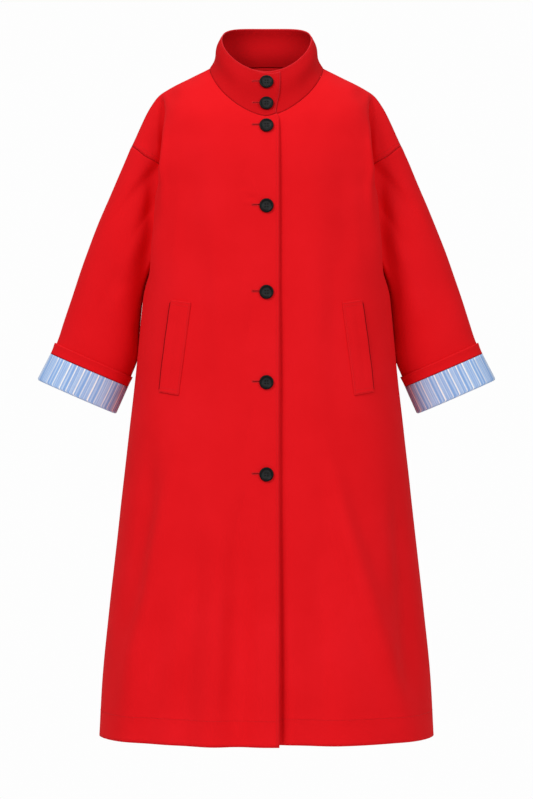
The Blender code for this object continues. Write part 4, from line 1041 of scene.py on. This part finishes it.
# Profile of the turned face and back: share of the radius, share of the thickness.
BUTTON_PROFILE = ((0.00, 0.64), (0.30, 0.65), (0.52, 0.68), (0.64, 0.74), (0.70, 0.84), (0.76, 0.95),
                  (0.83, 1.00), (0.90, 0.97), (0.96, 0.86), (0.99, 0.68), (1.00, 0.45), (0.97, 0.24),
                  (0.90, 0.08), (0.78, 0.00), (0.40, 0.00), (0.00, 0.00))
HOLE_RADIUS = 0.0011
HOLE_OFF = 0.0022


def button_mesh(material):
    """A lathe of the profile with 64 sides, with four holes bored through it."""
    sides = 64
    profile = np.array(BUTTON_PROFILE) * (BUTTON_RADIUS, BUTTON_THICK)
    angle = np.linspace(0, 2 * math.pi, sides, endpoint=False)
    rings = profile[1:-1]
    body = np.stack([rings[:, :1] * np.cos(angle), rings[:, :1] * np.sin(angle),
                     np.repeat(rings[:, 1:], sides, axis=1)], axis=-1).reshape(-1, 3)
    index = 2 + np.arange(len(rings) * sides).reshape(len(rings), sides)
    index = np.concatenate([index, index[:, :1]], axis=1)
    quads = np.stack([index[:-1, :-1], index[1:, :-1], index[1:, 1:], index[:-1, 1:]], axis=-1).reshape(-1, 4)
    caps = [(0, int(a), int(b)) for a, b in zip(index[0, :-1], index[0, 1:])]
    caps += [(1, int(b), int(a)) for a, b in zip(index[-1, :-1], index[-1, 1:])]
    points = [(0, 0, profile[0][1]), (0, 0, profile[-1][1])] + body.tolist()
    mesh = bpy.data.meshes.new("button")
    mesh.from_pydata(points, [], quads.tolist() + caps)
    blank = bpy.data.objects.new("button_blank", mesh)
    bpy.context.scene.collection.objects.link(blank)
    drills = []
    for step_x, step_y in ((-1, -1), (-1, 1), (1, -1), (1, 1)):
        bpy.ops.mesh.primitive_cylinder_add(vertices=16, radius=HOLE_RADIUS, depth=4 * BUTTON_THICK,
                                            location=(step_x * HOLE_OFF, step_y * HOLE_OFF, 0))
        drill = bpy.context.object
        drills.append(drill)
        cut = blank.modifiers.new("hole", "BOOLEAN")
        cut.object, cut.solver = drill, "EXACT"
    bpy.context.view_layer.update()
    bored = bpy.data.meshes.new_from_object(blank.evaluated_get(bpy.context.evaluated_depsgraph_get()))
    for item in [blank] + drills:
        bpy.data.objects.remove(item)
    radius = np.linalg.norm([v.co.xy for v in bored.vertices], axis=1) / BUTTON_RADIUS
    bored.attributes.new("radius", "FLOAT", "POINT").data.foreach_set("value", radius.astype(np.float32))
    bored.shade_smooth()
    bored.set_sharp_from_angle(angle=math.radians(50))
    bored.materials.clear()
    bored.materials.append(material)
    return bored


def charcoal_polyester():
    """Cast polyester: near black with a faint grey cloud, half matt, darker on the rim."""
    material, tree, shader = new_material("charcoal_polyester")
    here = node(tree, "ShaderNodeTexCoord").outputs["Object"]
    cloud = node(tree, "ShaderNodeTexNoise", {"Vector": here}, in_Scale=160.0, in_Detail=4.0)
    ramp = node(tree, "ShaderNodeValToRGB", {0: cloud.outputs[0]})
    ramp.color_ramp.elements[0].position, ramp.color_ramp.elements[1].position = 0.35, 0.70
    ramp.color_ramp.elements[0].color, ramp.color_ramp.elements[1].color = srgb("#1E2020"), srgb("#282A2A")
    radius = node(tree, "ShaderNodeAttribute", attribute_name="radius").outputs["Fac"]
    rim = node(tree, "ShaderNodeMapRange", {0: radius}, interpolation_type="SMOOTHSTEP", in_1=0.52, in_2=0.70)
    colour = node(tree, "ShaderNodeMix", {0: rim.outputs[0], 6: ramp.outputs[0]}, data_type="RGBA",
                  in_7=srgb("#060808"))
    tree.links.new(colour.outputs[2], shader.inputs["Base Color"])
    grain = node(tree, "ShaderNodeBump", {"Height": cloud.outputs[0]}, in_Strength=0.15, in_Distance=0.0002)
    tree.links.new(grain.outputs[0], shader.inputs["Normal"])
    shader.inputs["Roughness"].default_value = 0.45
    shader.inputs["Specular IOR Level"].default_value = 0.16
    return material


def sewing_thread(name, code):
    """Spun polyester thread: a soft dull strand with a fine twist."""
    material, tree, shader = new_material(name)
    here = node(tree, "ShaderNodeTexCoord").outputs["Object"]
    twist = node(tree, "ShaderNodeTexNoise", {"Vector": here}, in_Scale=1800.0, in_Detail=1.0)
    ramp = node(tree, "ShaderNodeMix", {0: twist.outputs[0]}, data_type="RGBA", in_6=srgb(code[0]),
                in_7=srgb(code[1]))
    tree.links.new(ramp.outputs[2], shader.inputs["Base Color"])
    shader.inputs["Roughness"].default_value = 0.6
    shader.inputs["Specular IOR Level"].default_value = 0.25
    return material


POLYESTER = charcoal_polyester()
BLACK_THREAD = sewing_thread("black_thread", ("#050606", "#0C0D0D"))
RED_THREAD = sewing_thread("red_thread", ("#CE121A", "#E2181F"))


def spindles(name, middles, axes, sides_way, outs, radius, material):
    """Many short strands in one mesh: each is a spindle, radius * sqrt(1 - s^2) round its axis."""
    s = np.array([-1.0, -0.8, 0.0, 0.8, 1.0])
    swell = np.array([0.15, 0.75, 1.0, 0.75, 0.15])
    angle = np.linspace(0, 2 * math.pi, 5, endpoint=False)
    points = (middles[:, None, None] + s[:, None, None] * axes[:, None, None] / 2
              + radius * (swell[:, None] * np.cos(angle))[..., None] * sides_way[:, None, None]
              + radius * (swell[:, None] * np.sin(angle))[..., None] * outs[:, None, None])
    count, rings, sides = points.shape[:3]
    index = np.arange(count * rings * sides).reshape(count, rings, sides)
    index = np.concatenate([index, index[..., :1]], axis=2)
    quads = np.stack([index[:, :-1, :-1], index[:, :-1, 1:], index[:, 1:, 1:], index[:, 1:, :-1]],
                     axis=-1).reshape(-1, 4)
    ends = [index[:, 0, :-1][:, ::-1].reshape(-1, sides), index[:, -1, :-1].reshape(-1, sides)]
    mesh = bpy.data.meshes.new(name)
    mesh.from_pydata(points.reshape(-1, 3).tolist(), [], quads.tolist() + ends[0].tolist() + ends[1].tolist())
    mesh.shade_smooth()
    mesh.materials.append(material)
    return mesh


shape = button_mesh(POLYESTER)
for name in BUTTON_NAMES:
    solid = np.array([v.co for v in frame["nodes"][name].data.vertices])
    middle_point = (solid.max(axis=0) + solid.min(axis=0)) / 2
    _, _, axes = np.linalg.svd(solid - solid.mean(axis=0), full_matrices=False)
    out = axes[-1] * -np.sign(axes[-1][1])
    sideways = np.array([1.0, 0.0, 0.0])
    upward = np.cross(out, sideways)
    turned = np.stack([sideways, upward, out], axis=1)
    place = middle_point - out * BUTTON_THICK / 2
    mesh = shape.copy()
    points = np.array([v.co for v in mesh.vertices]) @ turned.T + place
    mesh.vertices.foreach_set("co", points.ravel())
    mesh.update()
    button = add_piece("turned_" + name, mesh)
    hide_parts(name)
    # the thread fills the four holes and is drawn down below the dish
    centres = np.array([(a * HOLE_OFF, b * HOLE_OFF, BUTTON_THICK * 0.24) for a in (-1, 1) for b in (-1, 1)])
    middles = centres @ turned.T + place
    thread = spindles("thread_" + name, middles, np.repeat(out[None] * BUTTON_THICK * 0.55, 4, axis=0),
                      np.repeat(sideways[None], 4, axis=0), np.repeat(upward[None], 4, axis=0),
                      HOLE_RADIUS * 0.98, BLACK_THREAD)
    add_piece("thread_" + name, thread)


# ==== Stitching ===============================================================================
# Lockstitch in red polyester thread, eight stitches to the inch: along the front edges, the
# collar's rim, the hem, twice round the armholes, and round the welts.

STITCH_PITCH = 0.0032
STITCH_LENGTH = 0.0026
THREAD_RADIUS = 0.00028


def inset_line(grid, out, gap):
    """Points and normals at arc distance `gap` from a grid's first row, between its rows."""
    reach = distance_from(grid, 0)
    row = np.argmax(reach > gap, axis=0)
    column = np.arange(grid.shape[1])
    t = ((gap - reach[row - 1, column]) / (reach[row, column] - reach[row - 1, column]))[:, None]
    return (grid[row - 1, column] * (1 - t) + grid[row, column] * t,
            unit(out[row - 1, column] * (1 - t) + out[row, column] * t))


def stitch_row(points, out):
    """Middles, axes, side directions and normals of even stitches along a line of points."""
    run = np.concatenate([[0.0], np.cumsum(np.linalg.norm(np.diff(points, axis=0), axis=-1))])
    at = np.arange(STITCH_PITCH, run[-1] - STITCH_PITCH / 2, STITCH_PITCH)

    def on_line(where, values):
        return np.stack([np.interp(where, run, values[:, i]) for i in range(3)], axis=-1)

    start, end = on_line(at - STITCH_LENGTH / 2, points), on_line(at + STITCH_LENGTH / 2, points)
    normal = unit(on_line(at, out))
    axis = end - start
    return (start + end) / 2 + 0.00008 * normal, axis, unit(np.cross(axis, normal)), normal


def sew(name, lines):
    """One mesh of red stitches along several lines."""
    rows = [stitch_row(*line) for line in lines]
    parts = [np.concatenate([row[i] for row in rows]) for i in range(4)]
    add_piece(name, spindles(name, *parts, THREAD_RADIUS, RED_THREAD))


def turned_grid(name, way):
    """A piece's outer grid and normals with the wanted edge as the first row."""
    grid, out = walls[name][0], face_normals(walls[name][0], ring=name.startswith("sleeve"))
    for swap, flip in (way,):
        if swap:
            grid, out = grid.swapaxes(0, 1), out.swapaxes(0, 1)
        if flip:
            grid, out = grid[::-1], out[::-1]
    return grid, out


FIRST_COLUMN, LAST_COLUMN, FIRST_ROW, LAST_ROW = (True, False), (True, True), (False, False), (False, True)
edge_lines = [inset_line(*turned_grid("front_right", FIRST_COLUMN), EDGE_STITCH),
              inset_line(*turned_grid("collar", FIRST_COLUMN), EDGE_STITCH),
              inset_line(*turned_grid("collar", LAST_ROW), EDGE_STITCH)]
sew("stitches_front_edge_and_collar", edge_lines)
sew("stitches_hem", [inset_line(*turned_grid(name, FIRST_ROW), HEM_DEPTH)
                     for name in ("front_right", "front_left", "back")])
armhole_lines = []
for gap in ARMHOLE_STITCHES:
    for name, way in (("front_right", LAST_COLUMN), ("front_left", LAST_COLUMN), ("back", LAST_COLUMN),
                      ("back", FIRST_COLUMN)):
        grid, out = turned_grid(name, way)
        armhole_lines.append(inset_line(grid[:, SKIRT_CELLS:], out[:, SKIRT_CELLS:], gap))
sew("stitches_armholes", armhole_lines)
welt_lines = []
for grid, out in welt_grids:
    welt_lines.append(inset_line(grid.swapaxes(0, 1), out.swapaxes(0, 1), 0.0025))
    for gap in (0.0025, 0.0080):
        welt_lines += [inset_line(grid, out, gap), inset_line(grid[::-1], out[::-1], gap)]
sew("stitches_welts", welt_lines)


# ==== Buttonholes and pocket mouths ===========================================================
# Keyhole buttonholes, level, on the right front and the collar's lapped end, with their lips
# overcast in red thread. Each shows on the wearer's right of its button. The slit between the lips
# is painted shadow: a dark strip laid on the cloth, not a cut. The pockets' mouths beside their
# welts are painted shadow in the same way.

MOUTH_WIDTH = 0.0018
HOLE_ENDS = (-0.0228, 0.0020)       # from the button's middle
LIP_WIDTH = 0.0021
OVERCAST_PITCH = 0.00052
SLIT = 0.0006


def painted_shadow_material():
    """Painted shadow: a dark, mottled red for strips laid where a cut or a gap would lie in shade."""
    material, tree, shader = new_material("painted_shadow_in_gaps")
    here = node(tree, "ShaderNodeTexCoord").outputs["Object"]
    shadow_mottle = node(tree, "ShaderNodeTexNoise", {"Vector": here}, in_Scale=700.0, in_Detail=2.0)
    shadow_tone = node(tree, "ShaderNodeMix", {0: shadow_mottle.outputs[0]}, data_type="RGBA", in_6=srgb("#200204"),
               in_7=srgb("#4A0508"))
    tree.links.new(shadow_tone.outputs[2], shader.inputs["Base Color"])
    shader.inputs["Roughness"].default_value = 0.95
    shader.inputs["Specular IOR Level"].default_value = 0.05
    return material


def painted_shadow_strip(name, one, other):
    """A narrow band of painted shadow between two lines of points."""
    count = len(one)
    mesh = bpy.data.meshes.new(name)
    mesh.from_pydata(np.concatenate([one, other]).tolist(), [],
                     [(i, i + count, i + count + 1, i + 1) for i in range(count - 1)])
    mesh.materials.append(PAINTED_SHADOW)
    add_piece(name, mesh)


PAINTED_SHADOW = painted_shadow_material()
for (grid, out), side in zip(welt_grids, ("right", "left")):
    # the pocket's mouth: painted shadow, a dark strip laid beside the welt's free edge
    aside = unit(grid[3:-3, -1] - grid[3:-3, -2])
    low = grid[3:-3, -1] - 0.0012 * out[3:-3, -1]
    painted_shadow_strip("painted_shadow_pocket_mouth_" + side, low, low + MOUTH_WIDTH * aside)
for number, name in enumerate(BUTTON_NAMES):
    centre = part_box(name)
    middle_x, middle_z = (centre[0].x + centre[1].x) / 2, (centre[0].z + centre[1].z) / 2 + 0.0012
    cloth = pieces["collar" if number < 2 else "front_right"]
    at = np.arange(HOLE_ENDS[0], HOLE_ENDS[1], OVERCAST_PITCH)
    base, out = seat(cloth, middle_x + at, np.full_like(at, middle_z))
    way = unit(np.gradient(base, axis=0))
    up = unit(np.cross(out, way))
    up *= np.sign(up[:, 2:])
    lean = 0.10 * np.sin(37.0 * np.arange(len(at)) + number)[:, None] * way
    rows = []
    for edge in (-1, 1):
        rows.append((base + edge * (SLIT + LIP_WIDTH) / 2 * up + 0.00012 * out, (up + lean) * LIP_WIDTH, way, out))
    turn = np.linspace(math.pi / 2, 3 * math.pi / 2, 9)[:, None]
    spoke = np.cos(turn) * way[:1] + np.sin(turn) * up[:1]      # round the far end
    rows.append((base[:1] + (SLIT + LIP_WIDTH) / 2 * spoke + 0.00012 * out[:1], spoke * LIP_WIDTH,
                 np.cross(np.repeat(out[:1], 9, axis=0), spoke), np.repeat(out[:1], 9, axis=0)))
    parts = [np.concatenate([row[i] for row in rows]) for i in range(4)]
    lips = spindles(f"overcast_{number + 1}", *parts, 0.00027, RED_THREAD)
    add_piece(f"buttonhole_lips_{number + 1}", lips)
    # the slit: painted shadow, a dark strip laid along the buttonhole between its lips
    painted_shadow_strip(f"painted_shadow_buttonhole_slit_{number + 1}", base + SLIT * 0.6 * up + 0.00022 * out,
                base - SLIT * 0.6 * up + 0.00022 * out)


# ==== Floor, light and camera =================================================================
# A plain white studio: a round pale floor well below the hem, soft boxes in front to the left and
# the right, and a camera level with the waist at the photograph's distance.

CAMERA_AWAY = 5.0
CAMERA_HEIGHT = -0.5594
FRAME_HEIGHT = 1.350
SENSOR = 24.0
FLOOR = HEM - 0.30
FLOOR_RADIUS = 1.25         # ends below the picture's lower edge

floor_mesh = bpy.data.meshes.new("floor")
rim = [(FLOOR_RADIUS * math.cos(a), FLOOR_RADIUS * math.sin(a), FLOOR)
       for a in np.linspace(0, 2 * math.pi, 97)[:-1]]
floor_mesh.from_pydata(rim, [], [tuple(range(96))])
pale, tree, shader = new_material("pale_floor")
speck = node(tree, "ShaderNodeTexNoise", {"Vector": node(tree, "ShaderNodeTexCoord").outputs["Object"]},
             in_Scale=3.0)
tint = node(tree, "ShaderNodeMix", {0: speck.outputs[0]}, data_type="RGBA", in_6=srgb("#F8F8F8"),
            in_7=srgb("#FCFCFC"))
tree.links.new(tint.outputs[2], shader.inputs["Base Color"])
shader.inputs["Roughness"].default_value = 0.9
floor_mesh.materials.append(pale)
floor = bpy.data.objects.new("floor", floor_mesh)
bpy.context.scene.collection.objects.link(floor)

world = bpy.data.worlds.new("studio")
world.use_nodes = True
tree = world.node_tree
tree.nodes.clear()
seen = node(tree, "ShaderNodeBackground", in_Color=(1, 1, 1, 1), in_Strength=0.985)
lit = node(tree, "ShaderNodeBackground", in_Color=(1, 1, 1, 1), in_Strength=0.40)
ray = node(tree, "ShaderNodeLightPath")
mixed = node(tree, "ShaderNodeMixShader", {0: ray.outputs["Is Camera Ray"], 1: lit.outputs[0],
                                           2: seen.outputs[0]})
node(tree, "ShaderNodeOutputWorld", {0: mixed.outputs[0]})
bpy.context.scene.world = world

SOFT_BOXES = (
    ("key", (-2.3, -3.1, 2.2), 1.5, 86.0),
    ("fill", (2.1, -3.4, 1.0), 2.2, 48.0),
    ("top", (0.0, 0.2, 2.6), 1.8, 20.0),
)
for name, place, size, power in SOFT_BOXES:
    light = bpy.data.lights.new(name, "AREA")
    light.shape, light.size, light.energy = "SQUARE", size, power
    lamp = bpy.data.objects.new(name, light)
    lamp.location = place
    lamp.rotation_euler = (Vector((0, 0, -0.5)) - Vector(place)).to_track_quat("-Z", "Y").to_euler()
    bpy.context.scene.collection.objects.link(lamp)

lens = bpy.data.cameras.new("camera")
lens.sensor_fit, lens.sensor_height = "VERTICAL", SENSOR
lens.lens = SENSOR * CAMERA_AWAY / FRAME_HEIGHT
camera = bpy.data.objects.new("camera", lens)
camera.location = (0.0, -CAMERA_AWAY, CAMERA_HEIGHT)
camera.rotation_euler = (math.pi / 2, 0.0, 0.0)
bpy.context.scene.collection.objects.link(camera)
bpy.context.scene.camera = camera
bpy.context.scene.view_settings.view_transform = "Standard"
